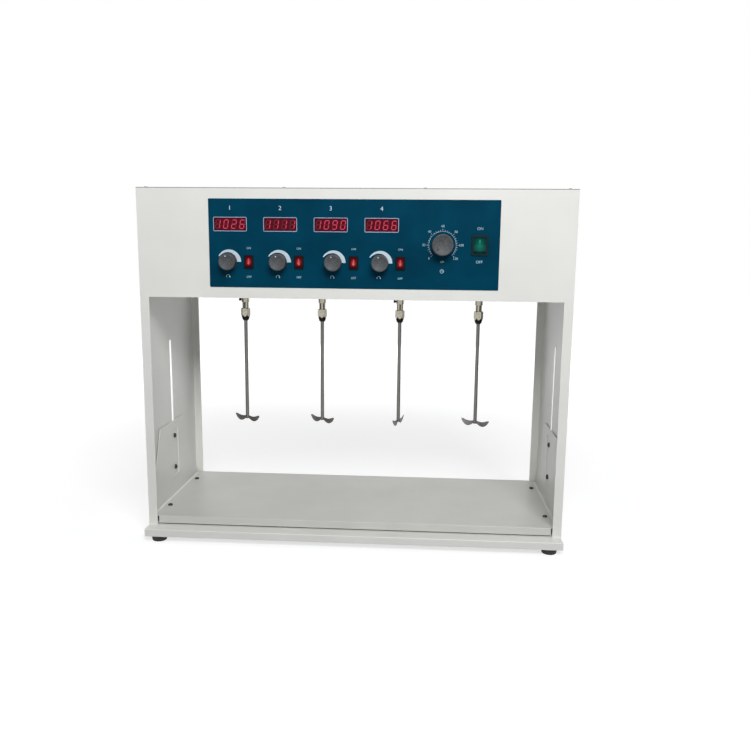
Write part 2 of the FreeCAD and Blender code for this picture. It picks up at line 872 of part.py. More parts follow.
def display(station):
    """A display block in its window, with a board flange against the back of the sheet."""
    x = display_x(station)
    face = overlay_y + display_recess
    block = plate_box(x, z_display, display_width, display_height, face, face + display_depth)
    flange = plate_box(x, z_display, display_width + 2 * display_flange,
                       display_height + 2 * display_flange, -inner_y,
                       -inner_y + display_flange_thickness)
    return fuse([block, flange])


def knob(radius, length, x, z):
    """A turned knob over a clamped bush: recessed behind, dished in front."""
    front = knob_back - length
    body = pin_y(radius, front, knob_back, x, z)
    body = round_edges(body, knob_edge_radius, lambda c, dx, dy, dz: dy < near and c.y < front + near)
    cuts = [pin_y(radius - knob_recess_wall, knob_back - knob_recess_depth, knob_back + over, x, z)]
    cuts.append(pin_y(knob_shaft_radius, knob_back - knob_bore_depth, knob_back, x, z))
    cuts.append(pin_y(radius - knob_dish_wall, front - over, front + knob_dish_depth, x, z))
    return cut(body, cuts)


def knob_shaft(x, z, back):
    return pin_y(knob_shaft_radius, knob_back - knob_bore_depth, back, x, z)


def speed_knob(station):
    x = knob_x(station)
    shaft_end = pot_back - pot_depth / 3
    return [knob(knob_radius, knob_length, x, z_control), knob_shaft(x, z_control, shaft_end)]


def timer_knob():
    shaft_end = -inner_y + timer_depth / 3
    return [knob(timer_knob_radius, timer_knob_length, timer_x, z_overlay),
            knob_shaft(timer_x, z_overlay, shaft_end)]


def panel_bush(x, z, radius, flats):
    """A threaded bush through the sheet and the nut that holds it; returned as two solids."""
    nut_front = overlay_y - panel_nut_thickness
    bush = pin_y(radius, nut_front - bush_thread_over, -inner_y, x, z)
    nut = turned(hexagon(flats, panel_nut_thickness), 90, V(1, 0, 0))
    hole = pin_y(radius + run_clearance, nut_front - over, overlay_y + over, x, z)
    nut = cut(at(nut, x, overlay_y, z), [hole])
    return bush, nut


def speed_pots():
    """Four potentiometers with their nuts."""
    solids = []
    for n in stations:
        x = knob_x(n)
        bush, nut = panel_bush(x, z_control, pot_bush_radius, pot_nut_flats)
        body = plate_box(x, z_control, pot_width, pot_width, -inner_y, pot_back)
        bore = pin_y(knob_shaft_radius + run_clearance, knob_back - knob_bore_depth,
                     pot_back - pot_depth / 4, x, z_control)
        solids.append(cut(fuse([body, bush]), [bore]))
        solids.append(nut)
    return solids


def timer_body():
    bush, nut = panel_bush(timer_x, z_overlay, timer_bush_radius, timer_nut_flats)
    body = plate_box(timer_x, z_overlay, timer_width, timer_width, -inner_y, -inner_y + timer_depth)
    body = round_edges(body, timer_edge_radius, lambda c, x, y, z: y > timer_depth / 2)
    bore = pin_y(knob_shaft_radius + run_clearance, knob_back - knob_bore_depth,
                 -inner_y + timer_depth / 2, timer_x, z_overlay)
    return [cut(fuse([body, bush]), [bore]), nut]


def rocker_pivot_y(front_distance):
    """The pressed facet ends just below the bezel's face."""
    pressed = front_distance * math.cos(math.radians(rocker_half_throw))
    return overlay_y - bezel_thickness + rocker_sink + pressed


def switch_housing(x, z, bezel_width, bezel_height, width, radius, front_distance):
    """Bezel and box with the rocker's cavity and its two pivot holes."""
    pivot = rocker_pivot_y(front_distance)
    face = overlay_y - bezel_thickness
    back = overlay_y + switch_body_depth
    bezel = plate_box(x, z, bezel_width, bezel_height, face, overlay_y)
    bezel = round_edges(bezel, bezel_round, lambda c, dx, dy, dz: c.y < face + near or dy > 1)
    body = plate_box(x, z, bezel_width - 2 * bezel_edge, bezel_height - 2 * bezel_edge, overlay_y, back)
    open_width = width + 2 * rocker_gap
    open_height = 2 * (radius + rocker_gap)
    swing = radius * math.sin(math.radians(rocker_half_throw))
    cavity_back = pivot + rocker_rear + swing + rocker_rear_gap
    cavity = plate_box(x, z, open_width, open_height, face - over, cavity_back)
    reach = width / 2 + rocker_gap + rocker_pin_length
    pin_hole = pin_x(rocker_pin_radius + run_clearance, x - reach, x + reach, pivot, z)
    return cut(fuse([bezel, body]), [cavity, pin_hole])


def rocker(x, z, width, radius, front_distance):
    """A two-facet rocker, shown with its upper half pressed in, which is on."""
    pivot = rocker_pivot_y(front_distance)
    drum = pin_x(radius, x - width / 2, x + width / 2, pivot, z)
    rise = 2 * radius * math.tan(math.radians(rocker_half_throw))
    y_front = pivot - front_distance
    corners = [(y_front, 0), (y_front - rise, 2 * radius), (pivot + rocker_rear, 2 * radius),
               (pivot + rocker_rear, -2 * radius), (y_front - rise, -2 * radius), (y_front, 0)]
    outline = Part.makePolygon([V(x - width / 2, y, z + dz) for y, dz in corners])
    wedge = Part.Face(outline).extrude(V(width, 0, 0))
    body = drum.common(wedge)
    reach = width / 2 + rocker_pin_length
    body = fuse([body, pin_x(rocker_pin_radius, x - reach, x + reach, pivot, z)])
    return turned(body, -rocker_half_throw, V(1, 0, 0), V(x, pivot, z))


def small_housing(station):
    return switch_housing(switch_x(station), z_control, small_bezel_width, small_bezel_height,
                          small_rocker_width, small_rocker_radius, small_rocker_front)


def small_rocker(station):
    return rocker(switch_x(station), z_control, small_rocker_width, small_rocker_radius,
                  small_rocker_front)


def main_housing():
    return switch_housing(main_switch_x, z_overlay, main_bezel_width, main_bezel_height,
                          main_rocker_width, main_rocker_radius, main_rocker_front)


def main_rocker():
    return rocker(main_switch_x, z_overlay, main_rocker_width, main_rocker_radius, main_rocker_front)


# Electrical parts inside and at the rear

def control_board():
    """A board with heat sinks, capacitors and a terminal row soldered on."""
    z0 = z_floor + board_pillar
    z1 = z0 + board_thickness
    yc = board_y()
    x0 = board_centre - board_length / 2
    pieces = [box(x0, x0 + board_length, yc - board_depth / 2, yc + board_depth / 2, z0, z1)]
    step = board_length / heat_sink_count
    sink_y = heat_sink_depth / 2
    for k in range(heat_sink_count):
        x = x0 + (k + 0.5) * step
        pieces.append(box(x - step / 5, x + step / 5, yc - sink_y, yc + sink_y, z1, z1 + heat_sink_height))
    for k in range(capacitor_count):
        x = x0 + (k + 1) * board_length / (capacitor_count + 1)
        pieces.append(post(capacitor_radius, z1, z1 + capacitor_height, x,
                           yc + board_depth / 2 - capacitor_inset))
    y0 = yc - board_depth / 2 + terminal_inset
    pieces.append(box(x0 + terminal_end_gap, x0 + board_length - terminal_end_gap,
                      y0, y0 + terminal_depth, z1, z1 + terminal_height))
    return fuse(pieces)


def transformer():
    x = transformer_centre
    yc = board_y()
    core = box(x - transformer_length / 2, x + transformer_length / 2, yc - transformer_core_depth / 2,
               yc + transformer_core_depth / 2, z_floor, z_floor + transformer_height)
    z_coil = z_floor + (transformer_height - transformer_coil_height) / 2
    coil = box(x - transformer_coil_length / 2, x + transformer_coil_length / 2,
               yc - transformer_coil_depth / 2, yc + transformer_coil_depth / 2,
               z_coil, z_coil + transformer_coil_height)
    coil = round_edges(coil, transformer_coil_radius, lambda c, dx, dy, dz: dy < near)
    return fuse([core, coil])


def power_inlet():
    """A three-pin inlet with a fuse drawer above it, seated on the rear sheet."""
    x = inlet_x
    z = inlet_z()
    face = half_depth + inlet_flange_thickness
    flange = plate_box(x, z, inlet_flange_width, inlet_flange_height, half_depth, face)
    flange = round_edges(flange, inlet_edge_radius, lambda c, dx, dy, dz: c.y > face - near or dy > 1)
    body = plate_box(x, z, inlet_body_width, inlet_body_height, half_depth - inlet_body_depth, half_depth)
    socket_z = z - inlet_socket_drop
    socket_floor = face - inlet_socket_depth
    socket = plate_box(x, socket_z, inlet_socket_width, inlet_socket_height, socket_floor, face + over)
    places = [(-inlet_pin_spread, -inlet_pin_drop), (inlet_pin_spread, -inlet_pin_drop),
              (0, inlet_earth_rise)]
    pins = [plate_box(x + dx, socket_z + dz, inlet_pin_width, inlet_pin_height,
                      socket_floor, socket_floor + inlet_pin_length) for dx, dz in places]
    drawer = plate_box(x, z + fuse_drawer_rise, fuse_drawer_width, fuse_drawer_height,
                       face, face + fuse_drawer_relief)
    return fuse([cut(fuse([flange, body]), [socket]), drawer] + pins)


def save_frame():
    save("base_pan", [base_pan()])
    save("feet", [at(foot(), x, y, 0) for x, y in foot_places()])
    save("base_screws", base_screws())
    save("front_panel", [front_panel()])
    save("rear_panel", [rear_panel()])
    save("right_side_panel", [right_side_panel()])
    save("left_side_panel", [mirrored_x(right_side_panel())])
    save("header_floor", [header_floor()])
    save("top_cover", [top_cover()])
    save("cover_screws", cover_screws())


def save_tray():
    save("tray", [tray()])
    save("right_bracket", [right_bracket()])
    save("left_bracket", [mirrored_x(right_bracket())])
    save("tray_screws", tray_screws())
    save("bracket_bolts", bracket_bolts())
    save("bracket_nuts", bracket_nuts())


def save_stirrers():
    save("motors", [motor(n) for n in stations])
    save("motor_screws", motor_screws())
    for n in stations:
        save("spindle_%d" % n, [spindle(n)])
        save("chuck_%d" % n, chuck(n))
        save("chuck_nut_%d" % n, [chuck_nut(n)])
        save("stirring_rod_%d" % n, [stirring_rod(n)])
        save("paddle_%d" % n, [paddle(n)])


def save_controls():
    save("control_overlay", [control_overlay()])
    save("speed_pots", speed_pots())
    save("switch_housings", [small_housing(n) for n in stations])
    for n in stations:
        save("display_%d" % n, [display(n)])
        save("speed_knob_%d" % n, speed_knob(n))
        save("rocker_%d" % n, [small_rocker(n)])
    save("timer_body", timer_body())
    save("timer_knob", timer_knob())
    save("main_switch_housing", [main_housing()])
    save("main_rocker", [main_rocker()])


def save_electrics():
    save("control_board", [control_board()])
    save("transformer", [transformer()])
    save("power_inlet", [power_inlet()])


os.makedirs("parts", exist_ok=True)
save_frame()
save_tray()
save_stirrers()
save_controls()
save_electrics()
print("tray rise left under the paddles:", round(z_rod_bottom - z_tray, 1))
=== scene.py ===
# %% [markdown]
# A bench jar tester: four stirrers hang from a header box over a tray for the jars.
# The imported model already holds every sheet, shaft, screw and switch at its true size, so it is
# loaded as a fixed frame. What follows dresses it: paint, metals, printing, knurls and light.

# %% Load the frame
import math

import bmesh
import bpy
from mathutils import Matrix, Vector


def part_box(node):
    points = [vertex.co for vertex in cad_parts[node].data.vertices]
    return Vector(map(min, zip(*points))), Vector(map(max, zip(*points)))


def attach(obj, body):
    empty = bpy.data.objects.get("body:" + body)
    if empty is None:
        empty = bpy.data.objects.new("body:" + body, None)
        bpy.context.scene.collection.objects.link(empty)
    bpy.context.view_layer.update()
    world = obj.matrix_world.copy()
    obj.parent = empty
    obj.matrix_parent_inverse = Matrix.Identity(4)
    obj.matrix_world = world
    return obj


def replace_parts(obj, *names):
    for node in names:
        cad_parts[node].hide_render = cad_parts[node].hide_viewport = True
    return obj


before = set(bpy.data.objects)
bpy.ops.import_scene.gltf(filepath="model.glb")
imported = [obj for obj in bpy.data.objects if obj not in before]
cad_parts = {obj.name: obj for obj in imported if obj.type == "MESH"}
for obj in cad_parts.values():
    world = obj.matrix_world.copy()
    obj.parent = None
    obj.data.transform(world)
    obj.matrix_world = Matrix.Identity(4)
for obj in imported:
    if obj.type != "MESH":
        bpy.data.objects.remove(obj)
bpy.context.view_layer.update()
MM = 0.001
STATIONS = (1, 2, 3, 4)


# %% [markdown]
# The photograph was taken from a little right of the middle, at the height of the panel, and looks
# slightly down. The camera's place was worked out from the straight edges of the case, so it is set
# in millimetres in the object's own frame. The lens follows from the focal length in pixels.

# %% Camera
CAMERA_MM = (104.8, -1266.0, 468.3)
YAW, PITCH, ROLL = (math.radians(a) for a in (3.487, -9.276, 0.604))
FOCAL_PX = 727.9
PHOTO_PX = 750


def aimed_matrix(place, yaw, pitch, roll):
    """The pose of a camera that looks along +Y, turned left by yaw, up by pitch and rolled."""
    forward = Vector((-math.sin(yaw) * math.cos(pitch), math.cos(yaw) * math.cos(pitch), math.sin(pitch)))
    level = forward.cross(Vector((0, 0, 1))).normalized()
    upright = level.cross(forward)
    right = level * math.cos(roll) + upright * math.sin(roll)
    up = upright * math.cos(roll) - level * math.sin(roll)
    turn = Matrix((right, up, -forward)).transposed().to_4x4()
    return Matrix.Translation(place) @ turn


lens = bpy.data.cameras.new("photo_camera")
lens.sensor_width = 36.0
lens.lens = FOCAL_PX / PHOTO_PX * lens.sensor_width
lens.clip_start, lens.clip_end = 0.05, 50
camera = bpy.data.objects.new("photo_camera", lens)
bpy.context.scene.collection.objects.link(camera)
camera.matrix_world = aimed_matrix(Vector(CAMERA_MM) * MM, YAW, PITCH, ROLL)
bpy.context.scene.camera = camera
bpy.context.scene.view_settings.view_transform = "Standard"
print("lens:", round(lens.lens, 2), "mm")


# %% [markdown]
# Every finish below is a tree of shader nodes. One small function adds a node with its settings and
# links, and one turns a hex colour, as a designer writes it, into the linear numbers that light works
# in. A node can stand for its own output, so that a chain of them reads like a sentence.

# %% Colours and nodes
def linear(code):
    """An sRGB hex colour such as '#e4e5e3' as linear red, green, blue and alpha."""
    parts = [int(code[i:i + 2], 16) / 255 for i in (1, 3, 5)]
    return [p / 12.92 if p <= 0.04045 else ((p + 0.055) / 1.055) ** 2.4 for p in parts] + [1.0]


def plain(value):
    """A hex colour as linear numbers, and any other value as it is."""
    return linear(value) if isinstance(value, str) else value


def add(tree, kind, inputs=None, **settings):
    """Add one node; an input takes a value, a hex colour, a socket, or a node's first output in use."""
    made = tree.nodes.new(kind)
    for name, value in settings.items():
        setattr(made, name, value)
    for key, value in (inputs or {}).items():
        if isinstance(value, bpy.types.Node):
            value = next(socket for socket in value.outputs if socket.enabled)
        if isinstance(value, bpy.types.NodeSocket):
            tree.links.new(value, made.inputs[key])
        else:
            made.inputs[key].default_value = plain(value)
    return made


print("pure white is", linear("#ffffff"))


# %% [markdown]
# A finish starts as one shader with plain numbers, taken from what the real surface is made of. A
# pattern then varies it: where a point lies on the object gives a noise with a grain of a real size,
# and that noise runs between two tones, two degrees of gloss, and over a relief.

# %% Finishes and grain
def per_metre(size_mm):
    """The scale of a pattern whose grain is this many millimetres wide."""
    return 1000.0 / size_mm


def finish(name, color, roughness, metallic=0.0, **sockets):
    """A new material with its shader's plain values set; returns the tree and the shader too."""
    made = bpy.data.materials.new(name)
    made.use_nodes = True
    tree = made.node_tree
    shader = tree.nodes["Principled BSDF"]
    sockets.update(Base_Color=color, Roughness=roughness, Metallic=metallic)
    for key, value in sockets.items():
        shader.inputs[key.replace("_", " ")].default_value = plain(value)
    return made, tree, shader


def place_on(tree, centre=(0, 0, 0), stretch=(1, 1, 1)):
    """Object coordinates from a centre in metres, squeezed along an axis where the grain runs long."""
    coords = add(tree, "ShaderNodeTexCoord").outputs["Object"]
    shift = [-c * s for c, s in zip(centre, stretch)]
    return add(tree, "ShaderNodeMapping", {"Vector": coords, "Location": shift, "Scale": stretch})


def grain(tree, size_mm, detail, centre=(0, 0, 0), stretch=(1, 1, 1)):
    """Noise of a real size that stays with the object."""
    return add(tree, "ShaderNodeTexNoise", {"Vector": place_on(tree, centre, stretch), "Detail": detail,
                                           "Scale": per_metre(size_mm), "Roughness": 0.55})


def varied(tree, shader, pattern, tones=None, gloss=None, relief=None, span=(0.3, 0.7)):
    """Run between two tones, two roughnesses and over a relief as a pattern rises through its span.

    Noise seldom leaves the middle of its range, so that is the usual span. The relief is given by
    its depth in millimetres and its strength.
    """
    run = {"Value": pattern, "From Min": span[0], "From Max": span[1]}
    if tones:
        share = add(tree, "ShaderNodeMapRange", run)
        color = add(tree, "ShaderNodeMix", {0: share, 6: tones[0], 7: tones[1]}, data_type="RGBA")
        tree.links.new(color.outputs[2], shader.inputs["Base Color"])
    if gloss:
        worn = add(tree, "ShaderNodeMapRange", {**run, "To Min": gloss[0], "To Max": gloss[1]})
        tree.links.new(worn.outputs[0], shader.inputs["Roughness"])
    if relief:
        bump = add(tree, "ShaderNodeBump", {"Height": pattern, "Distance": relief[0] * MM,
                                            "Strength": relief[1]})
        tree.links.new(bump.outputs[0], shader.inputs["Normal"])


print("a grain of 0.5 mm has scale", per_metre(0.5))


# %% [markdown]
# The case is folded sheet steel with a baked enamel. Sprayed enamel dries with a faint orange peel,
# about 1.5 mm across and only microns deep, which shows as a soft break-up of reflections. Its
# colour is an off-white that drifts slightly over a hand's width. Noise at those two sizes gives both.
# The tray's enamel is a tone greyer, as painted shade from the header above it. The cover's front
# and rear edges carry a thin line of painted shade that greys the enamel along them.

# %% White enamel on steel
# A thin line of painted shade greys the cover's front and rear edges: its grey and where it starts.
PAINTED_EDGE_SHADE = "#8d8f90"
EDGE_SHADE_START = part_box("top_cover")[1].y - 0.5 * MM


def laid_over(tree, shader, share, tone):
    """Lay a tone over the colour that the shader has so far, where the share is 1."""
    socket = shader.inputs["Base Color"]
    under = socket.links[0].from_socket if socket.is_linked else tuple(socket.default_value)
    color = add(tree, "ShaderNodeMix", {0: share, 6: under, 7: tone}, data_type="RGBA")
    tree.links.new(color.outputs[2], socket)


def past(tree, vector, direction, limit, sharp=0.0002):
    """1 past a limit in a direction, 0 before it, with a short ramp between."""
    along = add(tree, "ShaderNodeVectorMath", {0: vector, 1: direction}, operation="DOT_PRODUCT")
    return add(tree, "ShaderNodeMapRange", {"Value": along, "From Min": limit - sharp,
                                            "From Max": limit + sharp})


def white_enamel(name, tones=("#e2e3de", "#e8e8e4"), shade_edge=None):
    """Enamel all over; beyond a given half depth, a painted shade greys it."""
    made, tree, shader = finish(name, tones[0], 0.36, IOR=1.5)
    varied(tree, shader, grain(tree, 90.0, 2.0), tones)
    varied(tree, shader, grain(tree, 1.5, 2.0), gloss=(0.32, 0.42), relief=(0.02, 0.35))
    if shade_edge:
        either_way = add(tree, "ShaderNodeVectorMath", {0: place_on(tree)}, operation="ABSOLUTE")
        laid_over(tree, shader, past(tree, either_way, (0, 1, 0), shade_edge), PAINTED_EDGE_SHADE)
    return made


ENAMEL = white_enamel("baked_white_enamel")
# The tray takes the case's enamel in greyer tones, as painted shade from the header above it.
TRAY_ENAMEL_PAINTED_SHADE = white_enamel("enamel_with_painted_shade_on_the_tray", ("#c9cac5", "#d0d1cc"))
COVER_ENAMEL_PAINTED_EDGE_SHADE = white_enamel("enamel_with_painted_edge_shade", shade_edge=EDGE_SHADE_START)
# The print gives where the painted edge shade starts, measured from the cover's middle.
print("the cover's enamel thins out", round(EDGE_SHADE_START / MM, 1), "mm from its middle")


# %% [markdown]
# The panel is a polyester film, printed from behind in a deep teal blue. The film is embossed with a
# fine matt grain, so it reflects softly and never like glass. The real print is flat ink; the small
# drift in its colour here stands for the uneven layer of glue behind it. White and pale inks carry
# the slight mottle of a silk screen.

# %% Printed film and ink
def film_blue():
    made, tree, shader = finish("printed_polyester_film", "#00394f", 0.5, Specular_IOR_Level=0.03)
    varied(tree, shader, grain(tree, 60.0, 2.0), tones=("#00354b", "#004058"))
    varied(tree, shader, grain(tree, 0.45, 1.0), gloss=(0.36, 0.48), relief=(0.012, 0.4))
    return made


def screen_ink(name, color):
    made, tree, shader = finish(name, color, 0.5, IOR=1.5)
    varied(tree, shader, grain(tree, 0.6, 2.0), gloss=(0.44, 0.58))
    return made


FILM = film_blue()
INK_WHITE = screen_ink("screen_ink_white", "#c6d7e3")
INK_PALE = screen_ink("screen_ink_pale_blue", "#a3c4d2")
INK_LILAC = screen_ink("screen_ink_pale_lilac", "#9fa9c4")
print("inks:", [m.name for m in (INK_WHITE, INK_PALE, INK_LILAC)])


# %% [markdown]
# The rubber feet are moulded and slightly blooming; the switch bezels are moulded nylon with a
# spark-eroded grain of about half a millimetre. Both are near black, but the rubber is matt and a
# little grey on its high spots, while the nylon has a low sheen. The main switch is tinted green.

# %% Rubber and nylon
def black_rubber():
    made, tree, shader = finish("moulded_rubber", "#161616", 0.7, IOR=1.52)
    varied(tree, shader, grain(tree, 4.0, 4.0), tones=("#121212", "#252423"), span=(0.4, 0.75))
    varied(tree, shader, grain(tree, 0.5, 2.0), relief=(0.03, 0.5))
    return made


def moulded_nylon(name, color):
    made, tree, shader = finish(name, color, 0.5, Specular_IOR_Level=0.1)
    varied(tree, shader, grain(tree, 0.5, 2.0), gloss=(0.38, 0.55), relief=(0.015, 0.4))
    return made


RUBBER = black_rubber()
NYLON = moulded_nylon("moulded_black_nylon", "#0b0d0f")
GREEN_NYLON = moulded_nylon("moulded_green_black_nylon", "#0b2226")
print("mouldings:", [m.name for m in (RUBBER, NYLON, GREEN_NYLON)])


# %% [markdown]
# Four steels follow. Drawn stainless rods carry fine lengthwise scratches, so their noise is drawn
# out along Z. The blades are pressed from sheet and tumbled: darker, with short marks in every
# direction. Zinc plate shows a spangle of small dull patches. Black oxide is a thin dark skin that
# wears to grey in spots.

# %% Steels
def drawn_stainless():
    made, tree, shader = finish("drawn_stainless_steel", "#757573", 0.34, 1.0)
    streaks = grain(tree, 0.5, 4.0, stretch=(1, 1, 0.04))
    varied(tree, shader, streaks, ("#60615d", "#7b7c76"), (0.28, 0.44), (0.01, 0.4))
    return made


def blade_steel():
    made, tree, shader = finish("tumbled_stainless_steel", "#706e6c", 0.42, 1.0)
    varied(tree, shader, grain(tree, 1.1, 5.0), ("#62605f", "#7f7d7b"), (0.34, 0.52), (0.02, 0.4))
    return made


def zinc_plate():
    made, tree, shader = finish("zinc_plated_steel", "#8f908d", 0.32, 1.0)
    patches = add(tree, "ShaderNodeTexVoronoi", {"Vector": place_on(tree), "Scale": per_metre(1.2)})
    varied(tree, shader, patches.outputs["Color"], ("#83847f", "#9b9b96"), (0.26, 0.4), span=(0.1, 0.9))
    return made


def black_oxide():
    made, tree, shader = finish("black_oxide_steel", "#454543", 0.45, 0.85)
    varied(tree, shader, grain(tree, 0.9, 4.0), tones=("#3b3b3a", "#62615e"), span=(0.5, 0.75))
    return made


STAINLESS = drawn_stainless()
BLADE = blade_steel()
ZINC = zinc_plate()
OXIDE = black_oxide()
print("steels:", [m.name for m in (STAINLESS, BLADE, ZINC, OXIDE)])


# %% [markdown]
# Nickel plate is smooth and slightly yellow, with a faint haze. A few solids hold two finishes,
# because a screw is packed with the piece that it holds. A test on position picks the finish: the
# clamp screw of a chuck is all that lies outside its collar, and painted shade darkens the flutes
# of the neck. The cone at the nut's lower end faces down and is painted near black as shade. A
# cone is found by its slope, so the test reads the nut's own normal, which turns with the nut.

# %% Nickel chucks and nuts
COLLAR = 7.0 * MM
RIDGE = 5.4 * MM
FLUTE = 4.3 * MM
# The share of painted shade at the floor of the flutes.
FLUTE_PAINTED_SHADE = 0.9
# How far down a face of the nut must slope to take the painted shade.
NOSE_SHADE_SLOPE = 0.22


def from_axis(tree, vector, across):
    """The distance from an axis; across is 1 in the two directions that lie across it."""
    flat = add(tree, "ShaderNodeVectorMath", {0: vector, 1: across}, operation="MULTIPLY")
    return add(tree, "ShaderNodeVectorMath", {0: flat}, operation="LENGTH")


def nickel_plate(name, centre, details):
    """Plate with a haze; details(tree, vector) gives the share of near-black on it: a black screw or painted
    shade.
    """
    made, tree, shader = finish(name, "#c3bcab", 0.2, 1.0)
    varied(tree, shader, grain(tree, 2.5, 4.0, centre), ("#9d9889", "#bfbaac"), (0.16, 0.28))
    laid_over(tree, shader, details(tree, place_on(tree, centre)), "#201e1c")
    return made


def screw_and_flutes(tree, vector):
    radius = from_axis(tree, vector, (1, 1, 0))
    screw = add(tree, "ShaderNodeMapRange", {"Value": radius, "From Min": COLLAR - 0.2 * MM,
                                             "From Max": COLLAR + 0.2 * MM})
    # Painted shade in the flutes of the neck, darkest at their floor.
    flute_shade = add(tree, "ShaderNodeMapRange", {"Value": radius, "From Min": FLUTE, "From Max": RIDGE,
                                              "To Min": FLUTE_PAINTED_SHADE, "To Max": 0.0})
    return add(tree, "ShaderNodeMath", {0: screw, 1: flute_shade}, operation="MAXIMUM")


def black_nose(tree, vector):
    """Painted shade on the turned cone at the lower end of a nut, the only face that slopes downwards."""
    normal = add(tree, "ShaderNodeTexCoord").outputs["Normal"]
    return past(tree, normal, (0, 0, -1), NOSE_SHADE_SLOPE, 0.03)


def middle(node):
    low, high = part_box(node)
    return (low + high) / 2


def rod_axis(n):
    place = middle(f"stirring_rod_{n}")
    return (place.x, place.y, 0)


CHUCK = {n: nickel_plate(f"nickel_chuck_{n}", rod_axis(n), screw_and_flutes) for n in STATIONS}
NUT = {n: nickel_plate(f"nickel_nut_{n}", rod_axis(n), black_nose) for n in STATIONS}
print("rods stand at x", [round(rod_axis(n)[0] / MM, 1) for n in STATIONS], "mm")


# %% [markdown]
# The windows are dark red acrylic over a light-emitting display. Acrylic is glossy. Each window
# is given a low painted red glow, strongest in the middle. The module's back is closed, and only
# the front face takes the painted glow. The segments themselves come later as pieces of their own.

# %% Red windows
FORWARD = (0, -1, 0)
WINDOW_DEPTH = 0.6 * MM


def rim_share(tree, vector, half_x, half_z):
    """0 in the middle of an upright rectangle that faces the front, 1 on its rim."""
    folded = add(tree, "ShaderNodeVectorMath", {0: vector}, operation="ABSOLUTE")
    shares = add(tree, "ShaderNodeVectorMath", {0: folded, 1: (half_x, 1.0, half_z)}, operation="DIVIDE")
    axes = add(tree, "ShaderNodeSeparateXYZ", {0: shares}).outputs
    return add(tree, "ShaderNodeMath", {0: axes["X"], 1: axes["Z"]}, operation="MAXIMUM")


def front_glow(tree, shader, vector, distance, color):
    """Let a colour glow only on what stands further to the front than this distance."""
    front = past(tree, vector, FORWARD, distance)
    seen = add(tree, "ShaderNodeMix", {0: front, 6: "#000000", 7: color}, data_type="RGBA")
    tree.links.new(seen.outputs[2], shader.inputs["Emission Color"])


def red_window(name, low, high):
    # The window's emission is a painted glow: red in the middle, dim at the rim, on the front face only.
    made, tree, shader = finish(name, "#2a040a", 0.2, Specular_IOR_Level=0.06, Emission_Strength=0.32)
    half = (high - low) / 2
    vector = place_on(tree, (low + high) / 2)
    painted_glow = add(tree, "ShaderNodeMapRange", {"Value": rim_share(tree, vector, half.x, half.z),
                                            "From Min": 0.55, "To Min": 1.0, "To Max": 0.1})
    color = add(tree, "ShaderNodeMix", {0: painted_glow, 6: "#1a0206", 7: "#7c1430"}, data_type="RGBA")
    front_glow(tree, shader, vector, half.y - WINDOW_DEPTH, color)
    return made


WINDOW = {n: red_window(f"red_acrylic_window_painted_glow_{n}", *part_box(f"display_{n}")) for n in STATIONS}
print("windows:", len(WINDOW))


# %% [markdown]
# The rockers are clear tinted polycarbonate with a small neon lamp behind each red one. The lamp
# shows as a pale spot that fades into the tint, so the glow is worked out from the distance to the
# lamp. The large green rocker is lit more evenly. Ribs moulded inside, 1.8 mm apart, show as
# slightly darker bands.

# %% Rocker lenses
# Along X, Y and Z: the glow reaches further where this is below 1
GLOW_SHAPE = (1.25, 0.6, 0.8)
# A wave node repeats every pi / 10 of its grain, which here is 2.2 mm, and 1.8 mm on the lens
WAVE_GRAIN_MM = 7.0


def lit_lens(name, centre, shade, tint, core, reach_mm, strength):
    """Light falls from the core colour through the tint to the shade at the reach."""
    made, tree, shader = finish(name, shade, 0.45, Specular_IOR_Level=0.03, Emission_Strength=strength)
    vector = place_on(tree, centre, GLOW_SHAPE)
    away = add(tree, "ShaderNodeVectorMath", {0: vector}, operation="LENGTH")
    color = shade
    for start, end, tone in ((0.4, 1.0, tint), (0.0, 0.55, core)):
        falls = add(tree, "ShaderNodeMapRange",
                    {"Value": away, "From Min": start * reach_mm * MM, "From Max": end * reach_mm * MM,
                     "To Min": 1.0, "To Max": 0.0}, interpolation_type="SMOOTHSTEP")
        color = add(tree, "ShaderNodeMix", {0: falls, 6: color, 7: tone}, data_type="RGBA")
    front_glow(tree, shader, vector, 0.0, color)
    ribs = add(tree, "ShaderNodeTexWave", {"Vector": vector, "Scale": per_metre(WAVE_GRAIN_MM)},
               bands_direction="X")
    dark = add(tree, "ShaderNodeMapRange", {"Value": ribs.outputs["Fac"], "To Max": 0.25})
    laid_over(tree, shader, dark, "#000000")
    return made


RED_LENS = {n: lit_lens(f"red_polycarbonate_{n}", middle(f"rocker_{n}"), "#3c060b", "#c01f2c", "#ff9a96",
                        reach_mm=6.6, strength=0.66) for n in STATIONS}
GREEN_LENS = lit_lens("green_polycarbonate", middle("main_rocker"), "#012f2c", "#035f50", "#0c8a6c",
                      reach_mm=11.5, strength=0.62)
print("lenses:", len(RED_LENS), "red and one green")


# %% [markdown]
# The knobs are turned aluminium. Facing cuts leave rings about 0.4 mm apart around the axis, which
# spread a highlight into a soft fan. The rings are drawn from the distance to the knob's own axis.

# %% Turned aluminium
RING_MM = 0.4


def turned_aluminium(name, centre):
    made, tree, shader = finish(name, "#47494b", 0.6, 1.0)
    radius = from_axis(tree, place_on(tree, centre), (1, 0, 1))
    angle = add(tree, "ShaderNodeMath", {0: radius, 1: math.tau * per_metre(RING_MM)}, operation="MULTIPLY")
    rings = add(tree, "ShaderNodeMath", {0: angle}, operation="SINE")
    varied(tree, shader, grain(tree, 3.0, 5.0, centre), tones=("#3f4143", "#4f5153"))
    varied(tree, shader, rings, gloss=(0.54, 0.66), relief=(0.01, 0.35), span=(-1.0, 1.0))
    return made


